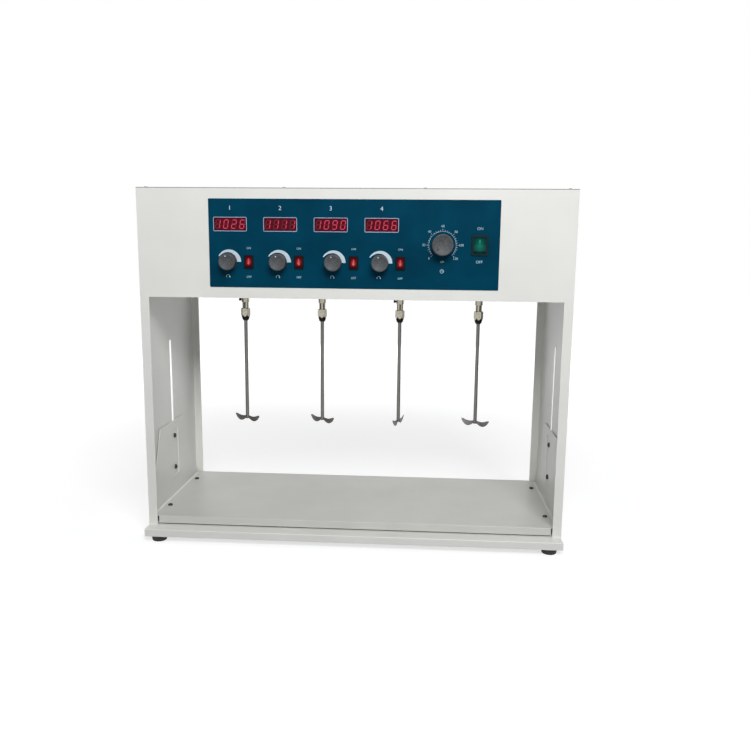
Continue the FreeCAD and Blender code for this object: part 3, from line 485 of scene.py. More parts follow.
# %% [markdown]
# Inside the header are motors, a board and a transformer. They show only through the vents, so each
# has one finish that follows its build: semi-gloss paint, green laminate with parts standing on it,
# and a stack of iron sheets. The sheets are drawn 2.2 mm thick, because real ones of half a
# millimetre are too fine to show. The inlet is a black moulding with brass pins.

# %% Inside finishes
BOARD_TOP = 1.75 * MM
# Where the inlet's pins stand: across from its middle, and up from its lower edge
PINS_MM = ((-7.0, 11.5), (7.0, 11.5), (0.0, 16.0))
PIN_HALF = (1.1 * MM, 2.1 * MM)


def motor_paint():
    made, tree, shader = finish("black_motor_paint", "#1b1c1e", 0.35, IOR=1.5)
    varied(tree, shader, grain(tree, 1.0, 2.0), relief=(0.02, 0.4))
    return made


def board_laminate():
    """Green up to the board's top, and the parts above in bare aluminium."""
    made, tree, shader = finish("board_laminate", "#14532b", 0.4, IOR=1.5)
    tracks = add(tree, "ShaderNodeTexBrick", {"Vector": place_on(tree, stretch=(60, 60, 60)),
                                              "Color1": "#12492a", "Color2": "#1a6336",
                                              "Mortar": "#2f7d4a"})
    tree.links.new(tracks.outputs["Color"], shader.inputs["Base Color"])
    above = place_on(tree, (0, 0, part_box("control_board")[0].z))
    laid_over(tree, shader, past(tree, above, (0, 0, 1), BOARD_TOP), "#8d8f91")
    return made


def iron_stack():
    made, tree, shader = finish("laminated_iron", "#3c3936", 0.5, 0.6)
    sheets = add(tree, "ShaderNodeTexWave", {"Vector": place_on(tree), "Scale": per_metre(WAVE_GRAIN_MM)},
                 bands_direction="Z")
    varied(tree, shader, sheets.outputs["Fac"], ("#302d2b", "#4c4844"), relief=(0.1, 0.5), span=(0.0, 1.0))
    return made


def inlet_moulding():
    made, tree, shader = finish("inlet_moulding", "#131316", 0.3, IOR=1.53)
    low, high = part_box("power_inlet")
    pins = 0.0
    for across, rise in PINS_MM:
        centre = ((low.x + high.x) / 2 + across * MM, high.y, low.z + rise * MM)
        reach = rim_share(tree, place_on(tree, centre), *PIN_HALF)
        pin = add(tree, "ShaderNodeMapRange", {"Value": reach, "From Min": 0.98, "From Max": 1.02,
                                               "To Min": 1.0, "To Max": 0.0})
        pins = add(tree, "ShaderNodeMath", {0: pins, 1: pin}, operation="MAXIMUM")
    laid_over(tree, shader, pins, "#b8964a")
    tree.links.new(pins.outputs[0], shader.inputs["Metallic"])
    varied(tree, shader, grain(tree, 0.8, 2.0), relief=(0.01, 0.3))
    return made


MOTOR = motor_paint()
BOARD = board_laminate()
CORE = iron_stack()
INLET = inlet_moulding()
print("inside:", [m.name for m in (MOTOR, BOARD, CORE, INLET)])


# %% [markdown]
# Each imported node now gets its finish. A node's own mesh is never touched: only its list of
# materials is emptied and filled again.

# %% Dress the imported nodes
def dress(names, material):
    for name in names:
        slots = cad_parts[name].data.materials
        slots.clear()
        slots.append(material)


dress(["base_pan", "front_panel", "rear_panel", "left_side_panel", "right_side_panel", "header_floor",
       "left_bracket", "right_bracket"], ENAMEL)
dress(["tray"], TRAY_ENAMEL_PAINTED_SHADE)
dress(["top_cover"], COVER_ENAMEL_PAINTED_EDGE_SHADE)
dress(["control_overlay"], FILM)
dress(["feet"], RUBBER)
dress(["switch_housings", "speed_pots", "timer_body"], NYLON)
dress(["main_switch_housing"], GREEN_NYLON)
dress(["cover_screws", "base_screws", "motor_screws", "bracket_nuts"], ZINC)
dress(["tray_screws", "bracket_bolts"], OXIDE)
dress(["motors"], MOTOR)
dress(["control_board"], BOARD)
dress(["transformer"], CORE)
dress(["power_inlet"], INLET)
dress(["main_rocker"], GREEN_LENS)
for n in STATIONS:
    dress([f"spindle_{n}", f"stirring_rod_{n}"], STAINLESS)
    dress([f"paddle_{n}"], BLADE)
    dress([f"chuck_{n}"], CHUCK[n])
    dress([f"chuck_nut_{n}"], NUT[n])
    dress([f"display_{n}"], WINDOW[n])
    dress([f"rocker_{n}"], RED_LENS[n])
print("dressed the packed nodes, and the knobs' own pieces follow")


# %% [markdown]
# Geometry Nodes make what repeats. One helper starts a tree with a named input for each size, and
# one runs a tree and keeps its result as a plain mesh, because the exported model can't hold a
# modifier's instances. Every printed mark is 0.06 mm thick, so that it has a real body.

# %% Geometry Nodes helpers
FILM_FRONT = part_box("control_overlay")[0].y
INK = 0.06 * MM
KINDS = {"length": "NodeSocketFloat", "count": "NodeSocketInt", "place": "NodeSocketVector",
         "material": "NodeSocketMaterial", "shape": "NodeSocketGeometry"}


def sized_tree(name, **sizes):
    """An empty tree with these inputs; returns the tree, its input sockets and its output node."""
    tree = bpy.data.node_groups.new(name, "GeometryNodeTree")
    for label, kind in sizes.items():
        tree.interface.new_socket(label, in_out="INPUT", socket_type=KINDS[kind])
    tree.interface.new_socket("Geometry", in_out="OUTPUT", socket_type="NodeSocketGeometry")
    return tree, tree.nodes.new("NodeGroupInput").outputs, tree.nodes.new("NodeGroupOutput")


def close_tree(tree, end, geometry, material):
    """Realize the instances, give them their material and send them out."""
    real = add(tree, "GeometryNodeRealizeInstances", {"Geometry": geometry})
    painted = add(tree, "GeometryNodeSetMaterial", {"Geometry": real, "Material": material})
    tree.links.new(painted.outputs[0], end.inputs[0])
    return tree


def empty_object(name, mesh=None):
    made = bpy.data.objects.new(name, mesh or bpy.data.meshes.new(name))
    bpy.context.scene.collection.objects.link(made)
    return made


def settled(made):
    """The object with what its modifiers make as its plain mesh."""
    graph = bpy.context.evaluated_depsgraph_get()
    mesh = bpy.data.meshes.new_from_object(made.evaluated_get(graph))
    made.modifiers.clear()
    made.data = mesh
    return made


def grown(name, tree, base=None, **values):
    """The tree's result for these values, as an object with a plain mesh."""
    made = empty_object(name, base)
    modifier = made.modifiers.new(tree.name, "NODES")
    modifier.node_group = tree
    for socket in tree.interface.items_tree:
        if socket.in_out == "INPUT" and socket.name in values:
            modifier[socket.identifier] = values[socket.name]
    return settled(made)


print("film front at", round(FILM_FRONT / MM, 2), "mm")


# %% [markdown]
# A finished piece sits at the origin with its place in its mesh, so that a pattern on Object
# coordinates stays with it. Small plates and turned shapes are given by their corner points; their
# doubles are merged before the faces are turned outwards.

# %% Pieces and corner points
def piece(name, parts, body):
    """Several objects as one piece with its place in its mesh, riding on a body."""
    with bpy.context.temp_override(active_object=parts[0], selected_editable_objects=parts):
        bpy.ops.object.join()
    made = parts[0]
    made.data.transform(made.matrix_world)
    made.matrix_world = Matrix.Identity(4)
    made.name = made.data.name = name
    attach(made, body)
    print(name, "-", len(made.data.polygons), "faces on", body)
    return made


def from_points(name, points, faces, material, smooth=False):
    """An object from its corner points and faces, with the faces turned outwards."""
    mesh = bpy.data.meshes.new(name)
    mesh.from_pydata(points, [], faces)
    solid = bmesh.new()
    solid.from_mesh(mesh)
    bmesh.ops.remove_doubles(solid, verts=solid.verts, dist=1e-7)
    bmesh.ops.recalc_face_normals(solid, faces=solid.faces)
    solid.to_mesh(mesh)
    solid.free()
    mesh.materials.append(material)
    if smooth:
        mesh.shade_smooth()
    return empty_object(name, mesh)


# %% [markdown]
# A knob is a turned blank with a straight knurl rolled into its rim. The knurl is a rule that repeats
# round the rim, so Geometry Nodes press it in: each point of the rim moves towards the axis by a
# triangle wave of its angle. The real knurl has a pitch near 0.8 mm; 1.1 mm is used so that it shows.

# %% Knurling tree
def knurl_tree():
    tree, given, end = sized_tree("straight_knurl", Blank="shape", Centre="place", Rim="length",
                                  Depth="length", Teeth="count", Front="length", Back="length",
                                  Material="material")
    here = add(tree, "GeometryNodeInputPosition")
    local = add(tree, "ShaderNodeVectorMath", {0: here, 1: given["Centre"]}, operation="SUBTRACT")
    axes = add(tree, "ShaderNodeSeparateXYZ", {0: local}).outputs
    angle = add(tree, "ShaderNodeMath", {0: axes["Z"], 1: axes["X"]}, operation="ARCTAN2")
    crowding = add(tree, "ShaderNodeMath", {0: given["Teeth"], 1: math.tau}, operation="DIVIDE")
    teeth = add(tree, "ShaderNodeMath", {0: angle, 1: crowding}, operation="MULTIPLY")
    press = add(tree, "ShaderNodeMath", {0: teeth, 1: 0.5}, operation="PINGPONG")
    flat = add(tree, "ShaderNodeCombineXYZ", {0: axes["X"], 2: axes["Z"]})
    radius = add(tree, "ShaderNodeVectorMath", {0: flat}, operation="LENGTH")
    edges = ((radius, "Rim", "GREATER_THAN"), (axes["Y"], "Front", "GREATER_THAN"),
             (axes["Y"], "Back", "LESS_THAN"))
    limits = [add(tree, "ShaderNodeMath", {0: value, 1: given[edge]}, operation=test)
              for value, edge, test in edges]
    for factor in (*limits, given["Depth"], -2.0):
        press = add(tree, "ShaderNodeMath", {0: press, 1: factor}, operation="MULTIPLY")
    outward = add(tree, "ShaderNodeVectorMath", {0: flat}, operation="NORMALIZE")
    offset = add(tree, "ShaderNodeVectorMath", {0: outward, "Scale": press}, operation="SCALE")
    moved = add(tree, "GeometryNodeSetPosition", {"Geometry": given["Blank"], "Offset": offset})
    return close_tree(tree, end, moved, given["Material"])


KNURL = knurl_tree()
print("knurl:", len(KNURL.nodes), "nodes")


# %% [markdown]
# The blank is a profile spun round its axis, as it is cut on a lathe: a dished face, a rounded edge,
# the rim with a groove behind the knurl, a recess in the back and the shaft. Each knob takes its rim
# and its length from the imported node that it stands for.

# %% Turned knobs
KNOB_GAP = 1.2 * MM
SHAFT = 3.0 * MM
DISH = 0.5 * MM
ROUND = 1.0 * MM
RECESS_RIM, RECESS_DEEP, CHAMFER = 3.4 * MM, 4.2 * MM, 0.5 * MM
KNURL_PITCH = 1.1 * MM
KNURL_DEPTH = 0.32 * MM
KNURL_START, KNURL_STOP, RIM_SLACK = 1.3 * MM, 3.3 * MM, 0.2 * MM
# Inward from the rim in millimetres, and the share of the dish's depth there
DISH_EDGE = ((3.2, 1.0), (2.6, 0.3), (2.1, 0.0))
# Inward from the rim, and ahead of the knob's back edge, round a groove that ends the knurl
SKIRT_MM = ((0.0, 3.2), (0.45, 2.9), (0.45, 2.1), (0.0, 1.8), (0.0, 0.4))


def knob_profile(rim, length, shaft_length):
    """Radius and distance behind the face, from the middle of the face round to the shaft's end."""
    face = [(0, DISH)] + [(rim - inset * MM, DISH * share) for inset, share in DISH_EDGE]
    corner = [(rim - ROUND + ROUND * math.sin(t), ROUND - ROUND * math.cos(t))
              for t in (0, math.pi / 6, math.pi / 3, math.pi / 2)]
    skirt = [(rim, ROUND + 0.4 * MM)]
    skirt += [(rim - inset * MM, length - ahead * MM) for inset, ahead in SKIRT_MM]
    wall, floor = rim - RECESS_RIM, length - RECESS_DEEP
    back = [(rim - CHAMFER, length), (wall, length), (wall, floor), (SHAFT, floor),
            (SHAFT, length + shaft_length), (0, length + shaft_length)]
    return face + corner + skirt + back


def skin(rows, count):
    """The faces between rows of points that each close round."""
    return [(row * count + k, row * count + (k + 1) % count, (row + 1) * count + (k + 1) % count,
             (row + 1) * count + k) for row in range(rows - 1) for k in range(count)]


def spun(profile, centre, front, segments):
    """The profile turned round an axis along Y; the two ends on the axis close by merging."""
    turns = [math.tau * k / segments for k in range(segments)]
    points = [(centre.x + radius * math.cos(turn), front + depth, centre.z + radius * math.sin(turn))
              for radius, depth in profile for turn in turns]
    return points, skin(len(profile), segments)


def turned_knob(node, pointer):
    """A knob for this node, with the pointer on its face."""
    low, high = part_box(node)
    centre = (low + high) / 2
    rim = (high.x - low.x) / 2
    length = FILM_FRONT - KNOB_GAP - low.y
    metal = turned_aluminium(f"turned_aluminium_{node}", centre)
    teeth = round(math.tau * rim / KNURL_PITCH)
    points, faces = spun(knob_profile(rim, length, high.y - low.y - length), centre, low.y, teeth * 4)
    blank = from_points(node + "_blank", points, faces, metal, smooth=True)
    knob = grown(node + "_body", KNURL, blank.data, Centre=tuple(centre), Rim=rim - RIM_SLACK,
                 Depth=KNURL_DEPTH, Teeth=teeth, Front=low.y + KNURL_START - centre.y,
                 Back=low.y + length - KNURL_STOP - centre.y, Material=metal)
    bpy.data.objects.remove(blank)
    made = piece(node + "_turned", [knob, pointer(centre, low.y, rim)], node)
    made.data.set_sharp_from_angle(angle=math.radians(32))
    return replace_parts(made, node)


# %% [markdown]
# The small knobs have a dot of white paint near the edge of the face, and the timer knob has a black
# line that points at 0. Both are thin plates that reach into the face and stand just proud of it.

# %% Pointers and all five knobs
DOT_TURN, DOT_INSET, DOT_RADIUS, DOT_SIDES = math.radians(15), 4.2 * MM, 0.9 * MM, 20
LINE_TURN, LINE_INSETS, LINE_HALF = math.radians(135), (7.2 * MM, 3.4 * MM), 0.4 * MM
LINE_SUNK = 0.1 * MM


def rectangle(left, bottom, right, top):
    return [(left, bottom), (right, bottom), (right, top), (left, top)]


def prism(outline, front, back):
    """The points and faces of a plate with this outline of (x, z) places."""
    count = len(outline)
    points = [(x, y, z) for y in (front, back) for x, z in outline]
    return points, [tuple(range(count)), tuple(range(count, 2 * count))] + skin(2, count)


def dot_pointer(centre, front, rim):
    reach = rim - DOT_INSET
    place = (centre.x - reach * math.sin(DOT_TURN), front + DISH - INK, centre.z + reach * math.cos(DOT_TURN))
    solid = bmesh.new()
    bmesh.ops.create_cone(solid, cap_ends=True, segments=DOT_SIDES, radius1=DOT_RADIUS,
                          radius2=DOT_RADIUS, depth=3 * INK)
    mesh = bpy.data.meshes.new("pointer_dot")
    solid.to_mesh(mesh)
    solid.free()
    mesh.materials.append(INK_WHITE)
    made = empty_object("pointer_dot", mesh)
    made.matrix_world = Matrix.Translation(place) @ Matrix.Rotation(math.pi / 2, 4, "X")
    return made


def line_pointer(centre, front, rim):
    near, far = (rim - inset for inset in LINE_INSETS)
    sine, cosine = math.sin(LINE_TURN), math.cos(LINE_TURN)
    outline = [(centre.x - sine * r + cosine * side, centre.z + cosine * r + sine * side)
               for r, side in rectangle(near, -LINE_HALF, far, LINE_HALF)]
    return from_points("pointer_line", *prism(outline, front + DISH - INK, front + DISH + LINE_SUNK), NYLON)


KNOBS = [turned_knob(f"speed_knob_{n}", dot_pointer) for n in STATIONS]
KNOBS.append(turned_knob("timer_knob", line_pointer))
print("knobs:", len(KNOBS))


# %% [markdown]
# Round each speed knob a pale wedge is printed, thin at the slow end and thick at the fast end. It
# follows a simple rule, so a tree bends a flat strip round the knob: the angle runs with the strip's
# length, and the inner edge comes nearer to the knob as the speed rises.

# %% Speed wedges
WEDGE_CURVE = 0.7
WEDGE_OUTER, WEDGE_THIN, WEDGE_THICK = 18.9 * MM, 1.2 * MM, 7.0 * MM
WEDGE_SWEEP = 152


def wedge_tree():
    tree, given, end = sized_tree("speed_wedge", Centre="place", Outer="length", Thin="length",
                                  Thick="length", Start="length", Sweep="length", Steps="count",
                                  Material="material")
    strip = add(tree, "GeometryNodeMeshGrid", {"Size X": 1.0, "Size Y": 1.0,
                                               "Vertices X": given["Steps"], "Vertices Y": 2})
    axes = add(tree, "ShaderNodeSeparateXYZ", {0: add(tree, "GeometryNodeInputPosition")}).outputs
    along = add(tree, "ShaderNodeMath", {0: axes["X"], 1: 0.5}, operation="ADD")
    inner = add(tree, "ShaderNodeMath", {0: 0.5, 1: axes["Y"]}, operation="SUBTRACT")
    swept = add(tree, "ShaderNodeMath", {0: along, 1: given["Sweep"]}, operation="MULTIPLY")
    angle = add(tree, "ShaderNodeMath", {0: given["Start"], 1: swept}, operation="ADD")
    growth = add(tree, "ShaderNodeMath", {0: given["Thick"], 1: given["Thin"]}, operation="SUBTRACT")
    curve = add(tree, "ShaderNodeMath", {0: along, 1: WEDGE_CURVE}, operation="POWER")
    added = add(tree, "ShaderNodeMath", {0: growth, 1: curve}, operation="MULTIPLY")
    width = add(tree, "ShaderNodeMath", {0: given["Thin"], 1: added}, operation="ADD")
    inset = add(tree, "ShaderNodeMath", {0: inner, 1: width}, operation="MULTIPLY")
    radius = add(tree, "ShaderNodeMath", {0: given["Outer"], 1: inset}, operation="SUBTRACT")
    turn = [add(tree, "ShaderNodeMath", {0: angle}, operation=wave) for wave in ("COSINE", "SINE")]
    x, z = (add(tree, "ShaderNodeMath", {0: radius, 1: part}, operation="MULTIPLY") for part in turn)
    place = add(tree, "ShaderNodeVectorMath", {0: add(tree, "ShaderNodeCombineXYZ", {0: x, 2: z}),
                                               1: given["Centre"]}, operation="ADD")
    bent = add(tree, "GeometryNodeSetPosition", {"Geometry": strip, "Position": place})
    return close_tree(tree, end, bent, given["Material"])


def inked(made):
    """Give a flat print its thickness, half to either side of the plane it lies in."""
    solid = made.modifiers.new("ink", "SOLIDIFY")
    solid.thickness = INK
    solid.offset = 0.0
    return settled(made)


WEDGE = wedge_tree()
INK_MIDDLE = FILM_FRONT - INK / 2


def on_film(x, z):
    return (x, INK_MIDDLE, z)


def arc(name, x, z, outer, thin, thick, start, sweep, steps):
    """A strip of ink bent round a place; the angles are in degrees, anticlockwise from +X."""
    return inked(grown(name, WEDGE, Centre=on_film(x, z), Outer=outer, Thin=thin, Thick=thick,
                       Start=math.radians(start), Sweep=math.radians(sweep), Steps=steps,
                       Material=INK_WHITE))


SPEED = {n: middle(f"speed_knob_{n}") for n in STATIONS}
piece("speed_wedges", [arc(f"wedge_{n}", SPEED[n].x, SPEED[n].z, WEDGE_OUTER, WEDGE_THIN, WEDGE_THICK,
                           WEDGE_SWEEP, -WEDGE_SWEEP, steps=49) for n in STATIONS], "root")


# %% [markdown]
# Each window has a printed frame. A tree sweeps a flat line along a rounded rectangle and sets four
# copies side by side, because the displays stand at an even pitch.

# %% Display frames
def frames_tree():
    tree, given, end = sized_tree("display_frames", First="place", Pitch="place", Number="count",
                                  Width="length", Height="length", Corner="length", Line="length",
                                  Material="material")
    outline = add(tree, "GeometryNodeCurvePrimitiveQuadrilateral",
                  {"Width": given["Width"], "Height": given["Height"]})
    rounded = add(tree, "GeometryNodeFilletCurve",
                  {"Curve": outline, "Radius": given["Corner"], "Count": 6}, mode="POLY")
    line = add(tree, "GeometryNodeCurvePrimitiveQuadrilateral", {"Width": given["Line"], "Height": INK})
    ring = add(tree, "GeometryNodeCurveToMesh", {"Curve": rounded, "Profile Curve": line})
    upright = add(tree, "GeometryNodeTransform", {"Geometry": ring, "Rotation": (math.pi / 2, 0, 0)})
    row = add(tree, "GeometryNodeMeshLine", {"Count": given["Number"], "Start Location": given["First"],
                                             "Offset": given["Pitch"]}, mode="OFFSET")
    copies = add(tree, "GeometryNodeInstanceOnPoints", {"Points": row, "Instance": upright})
    return close_tree(tree, end, copies, given["Material"])


DISPLAY = {n: middle(f"display_{n}") for n in STATIONS}
DISPLAY_PITCH = DISPLAY[2].x - DISPLAY[1].x
frames = grown("display_frames", frames_tree(), First=on_film(DISPLAY[1].x, DISPLAY[1].z),
               Pitch=(DISPLAY_PITCH, 0, 0), Number=len(STATIONS), Width=51.7 * MM, Height=20.9 * MM,
               Corner=1.6 * MM, Line=1.1 * MM, Material=INK_LILAC)
piece("display_frames", [frames], "root")


# %% [markdown]
# The timer's dial has a thin ring and a tick for every four minutes, over three quarters of a turn.
# The ticks are one bar, set on the points of a line that all lie on the axis and turned by their
# number. Every fifth tick is longer, at the numbers.

# %% Timer dial
def ticks_tree():
    tree, given, end = sized_tree("dial_ticks", Centre="place", Inner="length", Reach="length",
                                  Width="length", Number="count", Start="length", Step="length",
                                  Material="material")
    size = add(tree, "ShaderNodeCombineXYZ", {0: given["Reach"], 1: INK, 2: given["Width"]})
    bar = add(tree, "GeometryNodeMeshCube", {"Size": size})
    half = add(tree, "ShaderNodeMath", {0: given["Reach"], 1: 0.5}, operation="MULTIPLY")
    radius = add(tree, "ShaderNodeMath", {0: given["Inner"], 1: half}, operation="ADD")
    out = add(tree, "GeometryNodeTransform", {"Geometry": bar,
                                              "Translation": add(tree, "ShaderNodeCombineXYZ", {0: radius})})
    points = add(tree, "GeometryNodeMeshLine", {"Count": given["Number"], "Start Location": given["Centre"],
                                                "Offset": (0, 0, 0)}, mode="OFFSET")
    number = add(tree, "GeometryNodeInputIndex")
    steps = add(tree, "ShaderNodeMath", {0: number, 1: given["Step"]}, operation="MULTIPLY")
    turn = add(tree, "ShaderNodeMath", {0: given["Start"], 1: steps}, operation="ADD")
    turned = add(tree, "ShaderNodeCombineXYZ", {1: turn})
    copies = add(tree, "GeometryNodeInstanceOnPoints",
                 {"Points": points, "Instance": out, "Rotation": turned})
    return close_tree(tree, end, copies, given["Material"])


TIMER = middle("timer_knob")
TICKS = ticks_tree()
DIAL_START, DIAL_SWEEP = 135, 270
TICK_INNER, RING_OUTER, RING_LINE = 20.6 * MM, 21.0 * MM, 0.35 * MM
# How many marks there are, and how long and wide each is in millimetres
TICK_KINDS = {"minor_ticks": (31, 2.5, 0.45), "major_ticks": (7, 4.0, 0.6)}
# A positive turn about Y carries +X towards -Z, so the dial starts at the lower left and runs clockwise
ticks = [grown(name, TICKS, Centre=on_film(TIMER.x, TIMER.z), Inner=TICK_INNER, Reach=reach * MM,
               Width=width * MM, Number=number, Start=math.radians(DIAL_START),
               Step=math.radians(DIAL_SWEEP) / (number - 1), Material=INK_WHITE)
         for name, (number, reach, width) in TICK_KINDS.items()]
ticks.append(arc("dial_ring", TIMER.x, TIMER.z, RING_OUTER, RING_LINE, RING_LINE, -DIAL_START,
                 -DIAL_SWEEP, steps=97))
piece("timer_dial", ticks, "root")


# %% [markdown]
# Lettering is kept to plain numbers and the words on the switches. Text is made with Blender's own
# font, turned upright, and made a mesh before it is placed.

# %% Numbers and switch words
CAP_SHARE = 0.7
NUMBER_REACH, NUMBER_HIGH = 28.6 * MM, 3.6 * MM
NUMERAL_RISE, NUMERAL_HIGH = 24.5 * MM, 6.5 * MM
# How far ON stands above the rocker's middle and OFF below it, and how high the capitals are
MAIN_WORDS = (25.1 * MM, 25.1 * MM, 4.2 * MM)
STATION_WORDS = (21.0 * MM, 23.2 * MM, 3.2 * MM)


def lettering(text, x, z, cap, ink=INK_WHITE):
    """Text with capitals of this height, centred on a place on the film."""
    curve = bpy.data.curves.new("lettering", "FONT")
    curve.body = text
    curve.size = cap / CAP_SHARE
    curve.align_x = "CENTER"
    curve.align_y = "CENTER"
    curve.extrude = INK / 2
    curve.resolution_u = 3
    written = empty_object("lettering", curve)
    mesh = bpy.data.meshes.new_from_object(written)
    bpy.data.objects.remove(written)
    mesh.materials.clear()
    mesh.materials.append(ink)
    made = empty_object("lettering", mesh)
    made.matrix_world = Matrix.Translation(on_film(x, z)) @ Matrix.Rotation(math.pi / 2, 4, "X")
    return made


def dial_number(k):
    """Every 20 minutes takes an eighth of a turn."""
    turn = math.radians(45 * k - DIAL_START)
    return lettering(str(20 * k), TIMER.x + NUMBER_REACH * math.sin(turn),
                     TIMER.z + NUMBER_REACH * math.cos(turn), NUMBER_HIGH, INK_PALE)


def switch_words(node, rise, drop, cap):
    place = middle(node)
    return [lettering("ON", place.x, place.z + rise, cap, INK_PALE),
            lettering("OFF", place.x, place.z - drop, cap, INK_PALE)]


words = switch_words("main_rocker", *MAIN_WORDS)
for n in STATIONS:
    words += switch_words(f"rocker_{n}", *STATION_WORDS)
piece("switch_words", words, "root")
piece("dial_numbers", [dial_number(k) for k in range(7)], "root")
piece("station_numbers", [lettering(str(n), DISPLAY[n].x, DISPLAY[n].z + NUMERAL_RISE, NUMERAL_HIGH)
                          for n in STATIONS], "root")


# %% [markdown]
# Plain signs stand at the knobs: a turning arrow for speed, a clock face for time, and two joined
# rings past the last number, where the timer lets the motors run without end. All are lines of ink
# along an arc, with a pointed head or two hands as thin plates.

# %% Turning arrows, the clock and the endless sign
CLOCK_DROP, ENDLESS_DROP = 39.6 * MM, 25.2 * MM
ARROW_LEFT, ARROW_DROP = 2.0 * MM, 22.6 * MM


def ink_plate(name, outline):
    return from_points(name, *prism(outline, FILM_FRONT - INK, FILM_FRONT), INK_WHITE)


def line_arc(x, z, radius, line, start, sweep):
    return arc("arc", x, z, radius, line, line, start, sweep, steps=25)


def turning_arrow(x, z):
    radius, line, head = 2.9 * MM, 0.6 * MM, 1.5 * MM
    mid = radius - line / 2
    tip = [(x + mid + head * 0.8, z), (x + mid - head * 0.8, z), (x + mid, z - head * 1.3)]
    return [line_arc(x, z, radius, line, 215, -215), ink_plate("arrow_head", tip)]


def clock_sign(x, z):
    radius, half, long_reach, short_reach = 3.0 * MM, 0.275 * MM, 2.0 * MM, 1.5 * MM
    return [line_arc(x, z, radius, 2 * half, 90, -360),
            ink_plate("long_hand", rectangle(x - half, z - half, x + half, z + long_reach)),
            ink_plate("short_hand", rectangle(x - half, z - half, x + short_reach, z + half))]


def endless_sign(x, z):
    radius, line = 1.5 * MM, 0.45 * MM
    return [line_arc(x + side * (radius - line / 2), z, radius, line, 90, -360) for side in (-1, 1)]


signs = clock_sign(TIMER.x, TIMER.z - CLOCK_DROP) + endless_sign(TIMER.x, TIMER.z - ENDLESS_DROP)
for n in STATIONS:
    signs += turning_arrow(SPEED[n].x - ARROW_LEFT, SPEED[n].z - ARROW_DROP)
piece("panel_signs", signs, "root")


# %% [markdown]
# The displays are the usual seven-segment kind, leaning by 9 degrees. A digit is seven bars with
# pointed ends, 12.8 mm high between the middles of its bars. Lit bars glow; the unlit ones get a
# faint painted glow so that they show through the window, and both kinds are drawn, because that
# faint eight is what makes a display look real.

# %% Seven-segment digits
DIGIT_PITCH = 12.7 * MM
DIGIT_WIDE, DIGIT_HIGH = 6.5 * MM, 12.8 * MM
BAR, BAR_GAP = 1.5 * MM, 0.25 * MM
LEAN = math.tan(math.radians(9))
ENDS = {"a": ((0, 2), (1, 2)), "b": ((1, 2), (1, 1)), "c": ((1, 1), (1, 0)), "d": ((0, 0), (1, 0)),
        "e": ((0, 1), (0, 0)), "f": ((0, 2), (0, 1)), "g": ((0, 1), (1, 1))}
LIT = {"0": "abcdef", "1": "bc", "2": "abdeg", "6": "acdefg", "9": "abcdfg"}
READING = {1: "1026", 2: "1111", 3: "1090", 4: "1066"}


def glowing(name, color, strength):
    made, tree, shader = finish(name, "#3a0810", 0.3, Specular_IOR_Level=0.2, Emission_Color=color,
                                Emission_Strength=strength)
    varied(tree, shader, grain(tree, 1.4, 1.0), tones=("#3a0810", "#520c16"), span=(0.0, 1.0))
    return made


SEGMENT_LIT = glowing("lit_segment", "#c43a52", 1.0)
# Unlit bars are no lamp; their faint emission is a painted glow.
SEGMENT_UNLIT_PAINTED_GLOW = glowing("unlit_segment_painted_glow", "#8a1c30", 0.3)


def bar_outline(ends, left, bottom):
    """A bar with pointed ends between two grid places of a digit, leaning with height."""
    a, b = [Vector((i * DIGIT_WIDE, j * DIGIT_HIGH / 2)) for i, j in ends]
    along = (b - a).normalized()
    across = Vector((-along.y, along.x)) * BAR / 2
    gap, point = along * BAR_GAP, along * BAR / 2
    ring = [a + gap, a + gap + point + across, b - gap - point + across,
            b - gap, b - gap - point - across, a + gap + point - across]
    return [(left + p.x + p.y * LEAN, bottom + p.y) for p in ring]


def digits(station):
    centre = DISPLAY[station]
    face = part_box(f"display_{station}")[0].y - INK / 2
    shapes = {True: ([], []), False: ([], [])}
    for k, figure in enumerate(READING[station]):
        left = centre.x + (k - 1.5) * DIGIT_PITCH - DIGIT_WIDE / 2 - DIGIT_HIGH / 2 * LEAN
        for segment, ends in ENDS.items():
            points, faces = shapes[segment in LIT[figure]]
            start = len(points)
            outline = bar_outline(ends, left, centre.z - DIGIT_HIGH / 2)
            corners, sides = prism(outline, face - INK, face + INK)
            points += corners
            faces += [[start + i for i in side] for side in sides]
    parts = [from_points("lit_bars", *shapes[True], SEGMENT_LIT),
             from_points("unlit_bars", *shapes[False], SEGMENT_UNLIT_PAINTED_GLOW)]
    return piece(f"digits_{station}", parts, "root")


for n in STATIONS:
    digits(n)


# %% [markdown]
# A rocker carries the two standard marks, a bar on the half that is pressed for on and a ring on the
# other. At rest the upper half is upright just inside the bezel, and the lower half leans out by
# 20 degrees. The marks are moulded in, so they ride with the rocker.

# %% Rocker marks
ROCKER_THROW = math.radians(20)
RIDGE_RISE = 0.6 * MM
UPRIGHT_FACE = FILM_FRONT - 1.5 * MM
# As shares of the mark's height: its distance from the ridge, half the bar's width, the ring's width
MARK_REACH, BAR_HALF, RING_WIDTH = 1.25, 0.09, 0.16
MARK_PINK = screen_ink("moulded_pale_red_mark", "#d98a88")
MARK_MINT = screen_ink("moulded_pale_green_mark", "#4fa78a")


